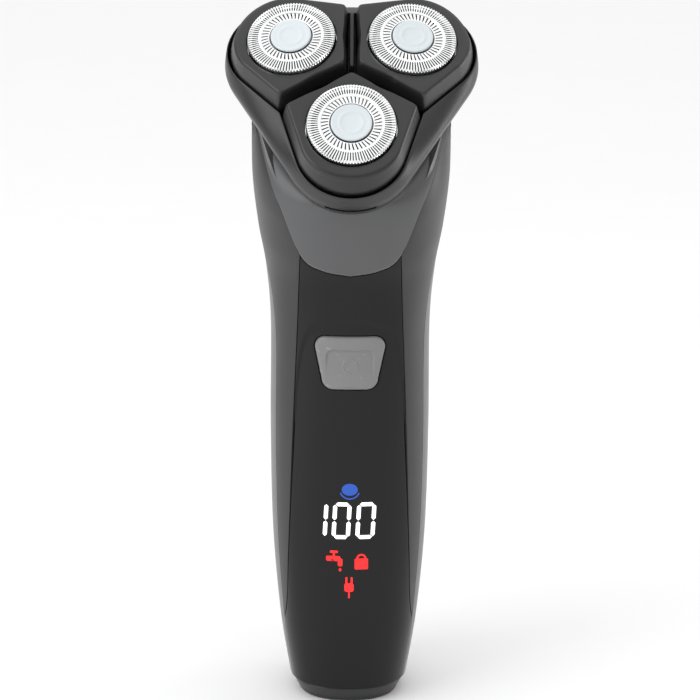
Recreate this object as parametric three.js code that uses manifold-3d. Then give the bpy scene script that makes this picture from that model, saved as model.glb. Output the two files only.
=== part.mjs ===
// A cordless rotary electric shaver: a tapered handle, a leaning neck and a head with three cutters.
// Millimetres. +Z is up, the front faces -Y, and the origin is the middle of the flat base.
import * as THREE from 'three';
import { mergeVertices } from 'three/addons/utils/BufferGeometryUtils.js';
import Module from 'manifold-3d';

const wasm = await Module();
wasm.setup();

// Fits
const gap = 0.3;                // between pieces that touch
const slack = 0.4;              // round a piece that slides or turns

// Handle
const gripHalfWidth = 19;       // at the widest level of the grip
const gripFront = 17.6;         // from the axis to the front face there
const gripBack = 19.2;          // from the axis to the back there
const neckHeight = 105;         // where the straight grip starts to lean into the neck
const wall = 1.8;               // shell wall
const capHeight = 4.3;          // base cap, from the table to the shells
const capInset = 0.7;           // step from the shells in to the base cap
const capTaper = 1.3;           // how much the base cap draws in towards the table

// Head frame: its face leans back from the top of the neck
const headTilt = THREE.MathUtils.degToRad(43);
const headForward = 17;         // from the handle's axis to the centre of the face
const headRise = 52.3;          // from neckHeight up to the centre of the face
const neckDepth = 16;           // from the face down to the top of the neck
const neckHalfWidth = 23;
const neckFront = 27.2;
const neckBack = 22;
const neckPower = 2.6;          // squareness of the neck's outline
const neckTuck = 0.9;           // how far the neck's top stays inside the skirt's lower edge

// Cutters
const cutterRadius = 15.8;      // from the head's axis to each cutter's centre
const cutterLean = THREE.MathUtils.degToRad(6);
const guardRadius = 10;
const guardTop = 1.2;           // how far a guard stands out of its pod
const guardPlate = 0.8;
const guardDrop = 3;            // from the pod's face down to the guard's lower edge
const guardTravel = 1;          // how far a guard can be pushed in
const flangeWidth = 1.3;
const flangeThickness = 0.8;
const outerSlots = 12;
const innerSlots = 8;
const slotWidth = 0.55;
const capRadius = 4.6;          // pale disc in the middle of a guard
const bladeCount = 6;
const cupInner = 4.4;
const cupOuter = 5.6;
const cupFloor = 4.2;           // below the pod's face
const cupEnd = 7.2;

// Pods and head shell
const podRadius = 12.6;         // of a pod's rounded front
const podShift = 2.2;           // from the cutter's centre forward to that circle's centre
const chamberRadius = 11.9;     // of the room for hair inside a pod
const sideBevel = 0.55;         // how much a pod's sides are bevelled, against its front
const podHeight = 6;           // down to its lower end, inside the skirt
const podEdge = 4.9;           // down to its widest edge, level with the skirt's rim
const podBevel = 1.7;
const podPlate = 1.8;
const podApex = 14.8;           // from the cutter's centre to the inner corner
const armInset = 0.35;         // from the middle of each valley's side to the pod
const podCornerX = 15.7;
const lobeRadius = 15;
const rimWall = 0.95;           // skirt's rim outside the pods, with the clearance
const skirtWall = 1.6;
const footRadius = 13.3;        // the skirt's lower edge, about each cutter's axis
const floorThickness = 1.3;     // of the skirt's floor, round the neck
const frameTop = 8.4;
const frameThickness = 1.6;
const ribWidth = 1.1;           // of the ribs that stand in the valleys between the pods
const ribLength = 16.2;
const ribTop = -0.8;            // the rib between the two upper pods
const lowRibTop = -3.2;         // the two ribs beside the lower pod
const ringHeight = 1.3;
const ringInner = 6.6;

// Drive
const gearModule = 0.8;
const pinionTeeth = 14;
const gearTeeth = 19;
const addendum = 0.65;
const dedendum = 1;
const toothShare = 0.36;        // tooth thickness at the pitch circle, as a share of the pitch
const gearThickness = 3;
const gearDepth = 19.2;         // from the face down to the gears' upper side
const deckThickness = 2;
const plateThickness = 1.6;
const spindleRadius = 1.3;
const spindleTip = 1.9;
const spindleTop = 6;           // from the face down to the spindle's tip
const shaftRadius = 1;
const motorRadius = 9;
const motorLength = 16.5;
const motorEnd = 2.2;

// Flip hinge at the back of the neck
const hingeOut = 24.6;          // from the head's axis to the pin
const hingeDepth = 17;
const knuckleRadius = 2;
const pinRadius = 0.8;
const knuckleHalf = 5;          // half the length of the middle knuckle
const sideKnuckle = 3.6;
const bracketThickness = 1.8;

// Inside the handle
const batteryRadius = 7.1;
const batteryLength = 50;
const batteryY = 5.5;
const batteryZ = 21;
const boardY = -9.8;
const boardThickness = 1.2;
const boardHalfWidth = 10.5;
const boardBottom = 24;
const boardTop = 98;
const displayHalfWidth = 8;
const displayDepth = 2.3;
const displayBottom = 27;
const displayTop = 60;
const chassisThickness = 1.6;
const boardSpace = 1;           // between the circuit board and the chassis plate behind it
const tabSpace = 1.4;           // between that plate and the tips of the battery tabs
const ribCount = 3;

// Power button
const buttonZ = 88;
const buttonTopHalf = 8.2;
const buttonBottomHalf = 6.6;
const buttonHalfHeight = 6.4;
const buttonCorner = 2.6;
const buttonProud = 0.5;
const buttonTravel = 0.8;
const buttonFlange = 0.9;       // thickness of the lip that keeps the button in

// Charging port, set back from the middle of the base
const portY = 5.5;
const portHalfWidth = 4.45;
const portHalfHeight = 1.6;
const portWall = 0.35;
const portDepth = 7.6;

const rings = 12;               // levels in the handle's loft
const sides = 28;               // points round it
const shoulder = [0.45, 0.75, 0.93]; // levels that round the neck over, shares of the last step
const lobeAngles = { lower: -90, right: 30, left: 150 };

// ---------------------------------------------------------------- solids

function solidOf(geometry, matrix) {
  const shape = geometry.clone();
  if (matrix) shape.applyMatrix4(matrix);
  shape.deleteAttribute('normal');
  shape.deleteAttribute('uv');
  const merged = mergeVertices(shape, 1e-4);
  const index = merged.index.array;
  const faces = [];
  for (let i = 0; i < index.length; i += 3) {
    const [a, b, c] = index.slice(i, i + 3);
    if (a !== b && b !== c && c !== a) faces.push(a, b, c);
  }
  return new wasm.Manifold(new wasm.Mesh({
    numProp: 3,
    vertProperties: merged.attributes.position.array,
    triVerts: new Uint32Array(faces),
  }));
}

function geometryOf(solid) {
  const { vertProperties, triVerts } = solid.getMesh();
  const geometry = new THREE.BufferGeometry();
  geometry.setAttribute('position', new THREE.BufferAttribute(vertProperties, 3));
  geometry.setIndex(new THREE.BufferAttribute(triVerts, 1));
  const faceted = geometry.toNonIndexed();
  faceted.computeVertexNormals();
  return faceted;
}

function joined(solids) {
  return solids.reduce((whole, solid) => whole.add(solid));
}

function box(x0, x1, y0, y1, z0, z1) {
  const geometry = new THREE.BoxGeometry(x1 - x0, y1 - y0, z1 - z0);
  geometry.translate((x0 + x1) / 2, (y0 + y1) / 2, (z0 + z1) / 2);
  return solidOf(geometry);
}

// A closed profile of [radius, height] points turned about Z, outer side going up.
function turned(profile, segments) {
  const points = profile.map(([r, z]) => new THREE.Vector2(r, z));
  const geometry = new THREE.LatheGeometry(points, segments);
  geometry.rotateX(Math.PI / 2);
  return solidOf(geometry);
}

function disc(radius, z0, z1, segments) {
  return turned([[0, z0], [radius, z0], [radius, z1], [0, z1]], segments);
}

function ring(inner, outer, z0, z1, segments) {
  return turned([[inner, z0], [outer, z0], [outer, z1], [inner, z1], [inner, z0]], segments);
}

function moved(solid, x, y, z) {
  return solid.translate([x, y, z]);
}

function extruded(points, z0, z1) {
  const shape = new THREE.Shape(points.map(([x, y]) => new THREE.Vector2(x, y)));
  const geometry = new THREE.ExtrudeGeometry(shape, { depth: z1 - z0, bevelEnabled: false });
  geometry.translate(0, 0, z0);
  return solidOf(geometry);
}

// An outline in the front view, [x, z], carried from y0 back to y1.
function frontPrism(points, y0, y1) {
  const upright = new THREE.Matrix4().makeRotationX(Math.PI / 2);
  const shape = new THREE.Shape(points.map(([x, z]) => new THREE.Vector2(x, z)));
  const geometry = new THREE.ExtrudeGeometry(shape, { depth: y1 - y0, bevelEnabled: false });
  geometry.applyMatrix4(upright);
  geometry.translate(0, y1, 0);
  return solidOf(geometry);
}

// An outline in the side view, [y, z], carried across the whole width.
function sidePrism(points, halfWidth) {
  const shape = new THREE.Shape(points.map(([y, z]) => new THREE.Vector2(y, z)));
  const geometry = new THREE.ExtrudeGeometry(shape, { depth: 2 * halfWidth, bevelEnabled: false });
  geometry.translate(0, 0, -halfWidth);
  const basis = new THREE.Matrix4().makeBasis(
    new THREE.Vector3(0, 1, 0), new THREE.Vector3(0, 0, 1), new THREE.Vector3(1, 0, 0));
  geometry.applyMatrix4(basis);
  return solidOf(geometry);
}

// A solid through rings of points, each ring counter-clockwise seen from the end of the stack.
function loft(stack) {
  const count = stack[0].length;
  const middle = (points) => points
    .reduce((sum, point) => sum.add(point), new THREE.Vector3())
    .divideScalar(points.length);
  const points = stack.flat();
  const first = points.push(middle(stack[0])) - 1;
  const last = points.push(middle(stack[stack.length - 1])) - 1;
  const top = (stack.length - 1) * count;
  const faces = [];
  for (let j = 0; j < count; j += 1) {
    const next = (j + 1) % count;
    faces.push(first, next, j);
    faces.push(last, top + j, top + next);
    for (let i = 0; i < stack.length - 1; i += 1) {
      const low = i * count;
      const high = low + count;
      faces.push(low + j, low + next, high + next);
      faces.push(low + j, high + next, high + j);
    }
  }
  const geometry = new THREE.BufferGeometry().setFromPoints(points);
  geometry.setIndex(faces);
  return solidOf(geometry);
}

// A smooth value between evenly counted stations, for a place t along them.
function along(stations, t) {
  const i = Math.min(Math.floor(t), stations.length - 2);
  const f = t - i;
  const a = stations[Math.max(i - 1, 0)];
  const b = stations[i];
  const c = stations[i + 1];
  const d = stations[Math.min(i + 2, stations.length - 1)];
  return b.map((value, k) => 0.5 * (
    2 * value + (c[k] - a[k]) * f
    + (2 * a[k] - 5 * value + 4 * c[k] - d[k]) * f * f
    + (3 * value - a[k] - 3 * c[k] + d[k]) * f * f * f));
}

// ---------------------------------------------------------------- places

const headAxis = new THREE.Vector3(0, -Math.sin(headTilt), Math.cos(headTilt));
const headBack = new THREE.Vector3(0, Math.cos(headTilt), Math.sin(headTilt));
const face = new THREE.Vector3(0, -headForward, neckHeight + headRise);
const neckCentre = face.clone().addScaledVector(headAxis, -neckDepth);

// A pod's side corner, and the direction in which its straight side touches its circle.
const armSlope = THREE.MathUtils.degToRad(30);
const podCorner = new THREE.Vector2(podCornerX, podApex - podCornerX * Math.tan(armSlope));
const podArc = new THREE.Vector2(0, -podShift);
const podReachOut = podCorner.clone().sub(podArc);
const podTouch = podReachOut.angle() - Math.acos(podRadius / podReachOut.length());
const podSide = podRadius - podShift * Math.sin(podTouch);

const bracketTop = -neckDepth - 2 * gap - deckThickness;
const bracketLow = bracketTop - bracketThickness;
const top = neckHeight + 80;    // above everything
const far = 60;                 // outside everything

// Brings a solid modelled in the head's frame (X, back-and-up, out of the face) into the part's frame.
function fromHead(solid) {
  return solid.rotate([THREE.MathUtils.radToDeg(headTilt), 0, 0]).translate(face.toArray());
}

// ---------------------------------------------------------------- handle

// Each station: front y and z, back y and z, half width, where the widest point is, squareness.
function handleStations() {
  const grip = [
    // share of neckHeight, then the steps from the grip's front, back and side
    [capHeight / neckHeight, -3.6, -4.7, -4.7],
    [0.19, -1.8, -2.5, -2.3],
    [0.4, -0.6, -0.9, -0.5],
    [0.65, 0, 0, 0],
    [0.895, 0.2, 0.4, -0.1],
    [1, 0.9, 1.3, 1],
  ].map(([share, front, back, side], i, all) => {
    const z = share * neckHeight;
    const lean = i === all.length - 1 ? 7 : 0;
    return [-gripFront - front, z, gripBack + back, z + lean, gripHalfWidth + side, 0.48, 2.3];
  });
  const front = neckCentre.clone().addScaledVector(headBack, -neckFront);
  const back = neckCentre.clone().addScaledVector(headBack, neckBack);
  const share = neckFront / (neckFront + neckBack);
  const neck = [front.y, front.z, back.y, back.z, neckHalfWidth, share, neckPower];
  const last = grip[grip.length - 1];
  const between = (amount, backStep, sideStep) => {
    const values = last.map((value, k) => THREE.MathUtils.lerp(value, neck[k], amount));
    values[2] += backStep;
    values[4] += sideStep;
    return values;
  };
  return [...grip, between(1 / 3, 5, 0.9), between(2 / 3, 8.2, 1.1), neck];
}

function rounded(value, power) {
  return Math.sign(value) * Math.abs(value) ** (2 / power);
}

// A level's outline, [x, back] from its widest line, drawn in by inset. With tuck 1 it fits under the head.
function levelOutline(half, front, back, power, inset, tuck) {
  return Array.from({ length: sides }, (_, j) => {
    const angle = 2 * Math.PI * j / sides;
    const x = rounded(Math.cos(angle), power) * (half - inset);
    const y = rounded(Math.sin(angle), power) * ((angle > Math.PI ? front : back) - inset);
    const limit = footReach(Math.atan2(y, x)) - neckTuck - inset;
    const scale = THREE.MathUtils.lerp(1, Math.min(1, limit / Math.hypot(x, y)), tuck);
    return [x * scale, y * scale];
  });
}

function section([frontY, frontZ, backY, backZ, half, share, power], inset, tuck = 0) {
  const across = new THREE.Vector3(0, backY - frontY, backZ - frontZ);
  const length = across.length();
  across.normalize();
  const centre = new THREE.Vector3(0, frontY, frontZ).addScaledVector(across, share * length);
  return levelOutline(half, share * length, (1 - share) * length, power, inset, tuck)
    .map(([x, step]) => centre.clone().addScaledVector(across, step).setX(x));
}

// The handle's outer form, drawn in by inset and carried on past both ends by overshoot.
function handleForm(inset, overshoot) {
  const stations = handleStations();
  const last = stations.length - 1;
  const levels = Array.from({ length: rings }, (_, i) => last * i / rings);
  const step = last / rings;
  levels.push(...shoulder.map((share) => last - step * (1 - share)), last);
  const stack = levels.map((level) => {
    const rise = Math.max(0, level - last + 1);
    return section(along(stations, level), inset, 1 - Math.sqrt(1 - rise * rise));
  });
  if (overshoot > 0) {
    const down = new THREE.Vector3(0, 0, -overshoot);
    const out = headAxis.clone().multiplyScalar(overshoot);
    stack.unshift(stack[0].map((point) => point.clone().add(down)));
    stack.push(stack[stack.length - 1].map((point) => point.clone().add(out)));
  }
  return loft(stack);
}

// Everything behind the seam between the rear shell and the side trims.
function rearRegion(shift) {
  const seam = new THREE.SplineCurve([
    [-2, 0], [-6.5, 0.13 * neckHeight], [-8, 0.32 * neckHeight], [-8.2, 0.6 * neckHeight],
    [-8, 0.9 * neckHeight], [-4.5, 1.1 * neckHeight], [0.5, 1.23 * neckHeight],
    [8, 1.43 * neckHeight], [13, 1.6 * neckHeight],
  ].map(([y, z]) => new THREE.Vector2(y + shift, z)));
  const line = seam.getPoints(14).map(({ x, y }) => [x, y]);
  return sidePrism([[line[0][0], -1], ...line, [13 + shift, top], [far, top], [far, -1]].reverse(), far);
}

function mirrored(right) {
  const left = right.map(([x, z]) => [-x, z]).reverse();
  return [...right, ...left];
}

// The collar's outline in the front view, a U that hangs from the neck over the front panel.
function collarRegion(grow) {
  const low = neckHeight + 4.4 - grow;
  const edge = new THREE.SplineCurve([
    [0, low], [6.6, low + 1.3], [11.3, low + 4.5], [15.6, low + 15.6], [18, low + 21.4],
    [21, low + 31.7], [23.5, low + 42],
  ].map(([x, z]) => new THREE.Vector2(x * (1 + grow / 15), z)));
  const right = edge.getPoints(12).slice(1).map(({ x, y }) => [x, y]);
  return frontPrism([[0, low], ...mirrored([...right, [far, top]])], -far, far);
}

// The glossy panel's outline in the front view; it widens to the whole front near the base.
function panelRegion(grow) {
  const edge = new THREE.SplineCurve([
    [20.5, 0.05], [17.2, 0.13], [15.1, 0.22], [14.5, 0.36], [13.4, 0.66], [12.2, 0.93],
    [11.6, 1.08], [10.6, 1.25],
  ].map(([x, share]) => new THREE.Vector2(x - 19 + gripHalfWidth + grow, share * neckHeight)));
  const right = edge.getPoints(12).map(({ x, y }) => [x, y]);
  return frontPrism(mirrored([[right[0][0], -1], ...right]), -far, far);
}

function buttonOutline(grow) {
  const half = buttonHalfHeight + grow;
  const top = buttonTopHalf + grow;
  const low = buttonBottomHalf + grow;
  const corner = buttonCorner + grow;
  const corners = [[-low, -half], [low, -half], [top, half], [-top, half]];
  const centres = corners.map(([x, z]) => [x - Math.sign(x) * corner, z - Math.sign(z) * corner]);
  const starts = [Math.PI, 1.5 * Math.PI, 0, 0.5 * Math.PI];
  const steps = 3;
  return centres.flatMap(([x, z], i) => Array.from({ length: steps + 1 }, (_, k) => {
    const angle = starts[i] + 0.5 * Math.PI * k / steps;
    return [x + corner * Math.cos(angle), buttonZ + z + corner * Math.sin(angle)];
  }));
}

// The four shells that make up the outside of the handle, and the collar over their top.
function handleShells() {
  const notch = fromHead(box(-knuckleHalf - slack, knuckleHalf + slack, neckBack - 4 * wall, far,
    bracketLow - gap, -neckDepth + 4));
  const tube = handleForm(0, 0).subtract(handleForm(wall, 3)).subtract(notch);
  const rear = tube.intersect(rearRegion(gap));
  const fore = tube.subtract(rearRegion(0));
  const collar = fore.intersect(collarRegion(0));
  const below = fore.subtract(collarRegion(gap));
  const opening = frontPrism(buttonOutline(slack), -far, 0);
  const panel = below.intersect(panelRegion(0)).subtract(opening);
  const trims = below.subtract(panelRegion(gap));
  return {
    rear_shell: rear,
    front_panel: panel,
    neck_collar: collar,
    side_trim_left: trims.intersect(box(-far, -1, -far, far, 0, top)),
    side_trim_right: trims.intersect(box(1, far, -far, far, 0, top)),
  };
}

function portHole(grow) {
  const radius = portHalfHeight + grow;
  const straight = portHalfWidth - portHalfHeight;
  const steps = 5;
  const end = (side, start) => Array.from({ length: steps + 1 }, (_, k) => {
    const angle = start + Math.PI * k / steps;
    return [side * straight + radius * Math.cos(angle), portY + radius * Math.sin(angle)];
  });
  return [...end(1, -Math.PI / 2), ...end(-1, Math.PI / 2)];
}

function baseCap() {
  const base = handleStations()[0];
  const level = (z) => base.map((value, k) => (k === 1 || k === 3 ? z : value));
  const rim = capHeight - gap;
  const outside = loft([
    section(level(0), capInset + capTaper + 0.6),
    section(level(0.6), capInset + capTaper),
    section(level(rim), capInset),
  ]);
  const spigot = loft([
    section(level(rim - 0.5), wall + gap + 0.3),
    section(level(capHeight + 3), wall + gap + 0.3),
  ]);
  const hollow = loft([
    section(level(2), 2 * wall + 1.4),
    section(level(capHeight + 4), 2 * wall + 1.4),
  ]);
  return outside.add(spigot).subtract(hollow).subtract(extruded(portHole(portWall + gap), -1, 9));
}

// ---------------------------------------------------------------- inside the handle

function chassis() {
  const plateY = boardY + boardThickness + boardSpace;
  const low = batteryZ - 6;
  const high = neckHeight - 9;
  const plate = box(-far, far, plateY, plateY + chassisThickness, low, high);
  const parts = [plate];
  for (let i = 0; i < ribCount; i += 1) {
    const z = batteryZ + 6 + i * (batteryLength - 14) / (ribCount - 1);
    parts.push(box(-far, far, plateY, batteryY + 4, z, z + chassisThickness));
  }
  const bore = moved(disc(batteryRadius + slack, low - 1, high + 1, 20), 0, batteryY, 0);
  return joined(parts).intersect(handleForm(wall + slack, 0)).subtract(bore);
}

function battery() {
  const top = batteryZ + batteryLength;
  const cell = turned([
    [0, batteryZ], [batteryRadius - 0.6, batteryZ], [batteryRadius, batteryZ + 0.6],
    [batteryRadius, top - 0.6], [batteryRadius - 0.6, top], [2.6, top], [2.6, top + 1], [0, top + 1],
  ], 20);
  return moved(cell, 0, batteryY, 0);
}

function batteryTab(z) {
  const plate = moved(disc(4, z, z + 0.5, 14), 0, batteryY, 0);
  const tip = boardY + boardThickness + boardSpace + chassisThickness + tabSpace;
  return plate.add(box(-1.5, 1.5, tip, batteryY, z, z + 0.5));
}

function circuitBoard() {
  const board = box(-boardHalfWidth, boardHalfWidth, boardY, boardY + boardThickness, boardBottom, boardTop);
  const chip = box(-3, 3, boardY - 1.1, boardY + 0.2, boardTop - 30, boardTop - 24);
  const coil = box(3.5, 8, boardY - 1.9, boardY + 0.2, boardTop - 31, boardTop - 25);
  return joined([board, chip, coil]);
}

function displayModule() {
  const back = boardY - gap;
  const body = box(-displayHalfWidth, displayHalfWidth, back - displayDepth, back,
    displayBottom, displayTop);
  const window = box(-displayHalfWidth + 1.5, displayHalfWidth - 1.5, back - displayDepth - 1,
    back - displayDepth + 0.4, displayBottom + 2, displayTop - 2);
  return body.subtract(window);
}

const switchFront = boardY - gap - 0.9;

function tactSwitch() {
  return box(-2.6, 2.6, switchFront, boardY - gap, buttonZ - 2.6, buttonZ + 2.6);
}

function powerButton() {
  const lipFront = boardY - 3.9;
  const inside = handleForm(-buttonProud, 0);
  const body = frontPrism(buttonOutline(0), -far, lipFront + buttonFlange).intersect(inside);
  const lip = frontPrism(buttonOutline(1.1), lipFront, lipFront + buttonFlange);
  const stemEnd = switchFront - buttonTravel - gap;
  const stem = box(-1.6, 1.6, lipFront, stemEnd, buttonZ - 1.6, buttonZ + 1.6);
  const dish = solidOf(new THREE.SphereGeometry(16, 24, 16)
    .scale(1, 1, 0.75)
    .translate(0, -gripFront - buttonProud - 15.1, buttonZ));
  const bump = frontPrism(circlePoints(1.9, 0, buttonZ, 20), -gripFront - 0.1, lipFront);
  return joined([body.subtract(dish), lip, stem]).add(bump.intersect(inside));
}

function circlePoints(radius, x, y, count) {
  return Array.from({ length: count }, (_, k) => {
    const angle = 2 * Math.PI * k / count;
    return [x + radius * Math.cos(angle), y + radius * Math.sin(angle)];
  });
}

function usbSocket() {
  const shell = extruded(portHole(portWall), 0.3, portDepth);
  const mouth = extruded(portHole(0), 0, portDepth - 0.8);
  const tongue = box(-3.3, 3.3, portY - 0.35, portY + 0.35, 1.2, portDepth - 0.4);
  return shell.subtract(mouth).add(tongue);
}

function chargeBoard() {
  const z = portDepth + gap;
  return box(-6.5, 6.5, portY - 5.5, portY + 4.5, z, z + 1);
}

// ---------------------------------------------------------------- drive, in the head's frame

const spindleOffset = gearModule * (pinionTeeth + gearTeeth) / 2;

// A spur gear about Z with a tooth centred on +X.
function gear(teeth, z0, z1, bore) {
  const pitchRadius = gearModule * teeth / 2;
  const pitch = 2 * Math.PI / teeth;
  const root = pitchRadius - dedendum;
  const tip = pitchRadius + addendum;
  const points = [];
  for (let i = 0; i < teeth; i += 1) {
    const middle = i * pitch;
    const corners = [[root, -0.3], [tip, -0.13], [tip, 0.13], [root, 0.3]];
    for (const [radius, share] of corners) {
      const angle = middle + share * pitch * toothShare / 0.4;
      points.push([radius * Math.cos(angle), radius * Math.sin(angle)]);
    }
  }
  return extruded(points, z0, z1).subtract(disc(bore, z0 - 1, z1 + 1, 12));
}

// Outline of the neck at its top, drawn in, as [x, y] in the head's frame.
function neckOutline(inset) {
  return levelOutline(neckHalfWidth, neckFront, neckBack, neckPower, inset, 1);
}

const spindlePlaces = Object.values(lobeAngles).map((degrees) => {
  const angle = THREE.MathUtils.degToRad(degrees);
  return [spindleOffset * Math.cos(angle), spindleOffset * Math.sin(angle)];
});

// Screws stand between the gears.
const screwAngles = [-30, 90, 210];
const screwOut = 15;
const screwPlaces = screwAngles.map((degrees) => {
  const angle = THREE.MathUtils.degToRad(degrees);
  return [screwOut * Math.cos(angle), screwOut * Math.sin(angle)];
});
const screwShank = 0.9;
const screwHead = 1.7;

function driveDeck() {
  const topZ = -neckDepth - gap;
  const lowZ = topZ - deckThickness;
  const plate = extruded(neckOutline(wall + 2 * gap), lowZ, topZ);
  const posts = screwPlaces.map(([x, y]) => moved(disc(2.4, plateTop + gap, lowZ + 0.5, 12), x, y, 0));
  const hole = disc(spindleTip + slack, lowZ - 1, topZ + 1, 16);
  const bore = disc(screwShank + gap, plateTop - 1, lowZ + 1, 8);
  const holes = spindlePlaces.map(([x, y]) => moved(hole, x, y, 0));
  const bores = screwPlaces.map(([x, y]) => moved(bore, x, y, 0));
  return joined([plate, ...posts]).subtract(joined([...holes, ...bores]));
}

const plateTop = -gearDepth - gearThickness - gap;

// Three-armed plate under the gears; it carries the motor and the spindles' lower ends.
function gearPlate() {
  const lowZ = plateTop - plateThickness;
  const hub = disc(motorRadius + 1.5, lowZ, plateTop, 24);
  const spindleEars = spindlePlaces.map(([x, y]) => moved(disc(3.4, lowZ, plateTop, 12), x, y, 0));
  const screwEars = screwPlaces.map(([x, y]) => moved(disc(3, lowZ, plateTop, 12), x, y, 0));
  const arms = screwAngles.map((degrees) => box(0, screwOut, -3, 3, lowZ, plateTop).rotate([0, 0, degrees]));
  const bores = [
    disc(shaftRadius + slack, lowZ - 1, plateTop + 1, 20),
    ...spindlePlaces.map(([x, y]) => moved(disc(spindleRadius + gap, lowZ - 1, plateTop + 1, 12), x, y, 0)),
    ...screwPlaces.map(([x, y]) => moved(disc(screwShank + gap, lowZ - 1, plateTop + 1, 8), x, y, 0)),
  ];
  return joined([hub, ...spindleEars, ...screwEars, ...arms]).subtract(joined(bores));
}

const motorTop = plateTop - plateThickness - gap;

function motorCan() {
  const low = motorTop - motorLength;
  const can = turned([
    [0, low], [motorRadius, low], [motorRadius, motorTop - 0.8], [motorRadius - 0.8, motorTop],
    [0, motorTop],
  ], 24);
  return can.subtract(disc(shaftRadius + slack, low - 1, motorTop + 1, 20));
}

function motorEndcap() {
  const high = motorTop - motorLength - gap;
  const low = high - motorEnd;
  const cap = disc(motorRadius - 0.6, low, high, 24);
  const terminals = [-4, 4].map((x) => box(x - 1, x + 1, -0.4, 0.4, low - 2, low + 0.5));
  return joined([cap, ...terminals]).subtract(disc(shaftRadius + slack, low + 1, high + 1, 20));
}

function motorShaft() {
  return disc(shaftRadius, motorTop - motorLength, -gearDepth + 0.3, 16);
}

function pinion() {
  return gear(pinionTeeth, -gearDepth - gearThickness, -gearDepth, shaftRadius + gap);
}

// How far a driven gear is turned so that its teeth sit in the pinion's gaps.
function meshAngle(degrees) {
  const place = ((degrees / 360) * pinionTeeth % 1 + 1) % 1;
  return degrees + 180 + (place - 0.5) * 360 / gearTeeth;
}

function spindle() {
  const low = plateTop - plateThickness;
  const tipCentre = -spindleTop - spindleTip;
  const arc = Array.from({ length: 5 }, (_, k) => {
    const angle = THREE.MathUtils.degToRad(-46 + 136 * k / 4);
    return [spindleTip * Math.cos(angle), tipCentre + spindleTip * Math.sin(angle)];
  });
  arc[arc.length - 1][0] = 0;
  return turned([[0, low], [spindleRadius, low], ...arc], 12);
}

function screw(headZ, length) {
  const slot = box(-screwHead, screwHead, -0.3, 0.3, headZ - 1.2, headZ - 0.6);
  return turned([
    [0, headZ - 1.2], [screwHead, headZ - 1.2], [screwHead, headZ], [screwShank, headZ],
    [screwShank, headZ + length], [0, headZ + length],
  ], 8).subtract(slot);
}

function chamberSeal() {
  const low = -neckDepth;
  const outside = extruded(neckOutline(wall + 1.2), low, low + 0.9);
  return outside.subtract(extruded(neckOutline(wall + 2.4), low - 1, low + 2));
}

// Turned about X, for the pin and its knuckles.
function barrel(radius, x0, x1) {
  return disc(radius, x0, x1, 16).rotate([0, 90, 0]).translate([0, hingeOut, -hingeDepth]);
}

function hingeBracket() {
  const knuckle = barrel(knuckleRadius, -knuckleHalf, knuckleHalf);
  const arm = box(-knuckleHalf, knuckleHalf, neckBack - 3.2, hingeOut, bracketLow, bracketTop);
  return joined([knuckle, arm]).subtract(barrel(pinRadius + gap, -far, far));
}

function hingePin() {
  const half = knuckleHalf + gap + sideKnuckle;
  return barrel(pinRadius, -half, half);
}

// ---------------------------------------------------------------- head, in the head's frame

// How far a direction is turned from the nearest cutter, 0 to 60 degrees in radians.
function offLobe(angle) {
  const third = 2 * Math.PI / 3;
  const start = THREE.MathUtils.degToRad(lobeAngles.lower);
  const turn = ((angle - start) % third + third) % third;
  return Math.min(turn, third - turn);
}

function circleReach(off, out, radius) {
  const across = out * Math.sin(off);
  return out * Math.cos(off) + Math.sqrt(radius * radius - across * across);
}

// From the head's axis to the hull of three circles about the cutters.
function hullReach(angle, radius) {
  const off = offLobe(angle);
  const half = Math.PI / 3;
  const touch = Math.atan2(radius * Math.sin(half), cutterRadius + radius * Math.cos(half));
  if (off > touch) return (cutterRadius * Math.cos(half) + radius) / Math.cos(half - off);
  return circleReach(off, cutterRadius, radius);
}

// From the head's axis to the outline of the three pods, grown by step.
function podsReach(angle, step) {
  const off = offLobe(angle);
  const radius = podRadius + step;
  const out = cutterRadius + podShift;
  const lateral = radius * Math.cos(podTouch);
  if (off < Math.atan2(lateral, out - radius * Math.sin(podTouch))) return circleReach(off, out, radius);
  return (podSide + step - cutterRadius * Math.sin(podTouch))
    / (Math.sin(off) * Math.cos(podTouch) - Math.cos(off) * Math.sin(podTouch));
}

function neckReach(angle) {
  const reach = Math.sin(angle) < 0 ? neckFront : neckBack;
  const x = Math.abs(Math.cos(angle) / neckHalfWidth) ** neckPower;
  const y = Math.abs(Math.sin(angle) / reach) ** neckPower;
  return (x + y) ** (-1 / neckPower);
}

// From the head's axis to the skirt's lower edge, which follows the cutters and, at the back, the neck.
function footReach(angle) {
  const hull = hullReach(angle, footRadius);
  return Math.sin(angle) > 0.5 ? Math.max(hull, neckReach(angle)) : hull;
}

// From the face down to the skirt's rim, level with the pods' leaning edges.
function rimDepth(angle) {
  const outward = podsReach(angle, rimWall) * Math.cos(offLobe(angle)) - cutterRadius;
  return podEdge / Math.cos(cutterLean) + outward * Math.tan(cutterLean);
}

const skirtLevels = [0, 0.2, 0.45, 0.7, 0.87, 1];
const skirtSides = 42;

// One level of the skirt: share 0 at the neck, 1 at the rim.
function skirtRing(share, inset, rise) {
  const flare = THREE.MathUtils.smoothstep(share, -0.15, 0.7);
  const draw = Math.max(0, (share - 0.6) / 0.4) ** 2;
  return Array.from({ length: skirtSides }, (_, j) => {
    const angle = 2 * Math.PI * j / skirtSides;
    const low = THREE.MathUtils.lerp(footReach(angle), hullReach(angle, lobeRadius), flare);
    const reach = THREE.MathUtils.lerp(low, podsReach(angle, rimWall), draw);
    const swell = 0.5 * Math.sin(Math.PI * share);
    const z = THREE.MathUtils.lerp(-neckDepth + gap, -rimDepth(angle), share) + rise;
    return new THREE.Vector3(Math.cos(angle), Math.sin(angle), 0)
      .multiplyScalar(reach + swell - inset)
      .setZ(z);
  });
}

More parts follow.
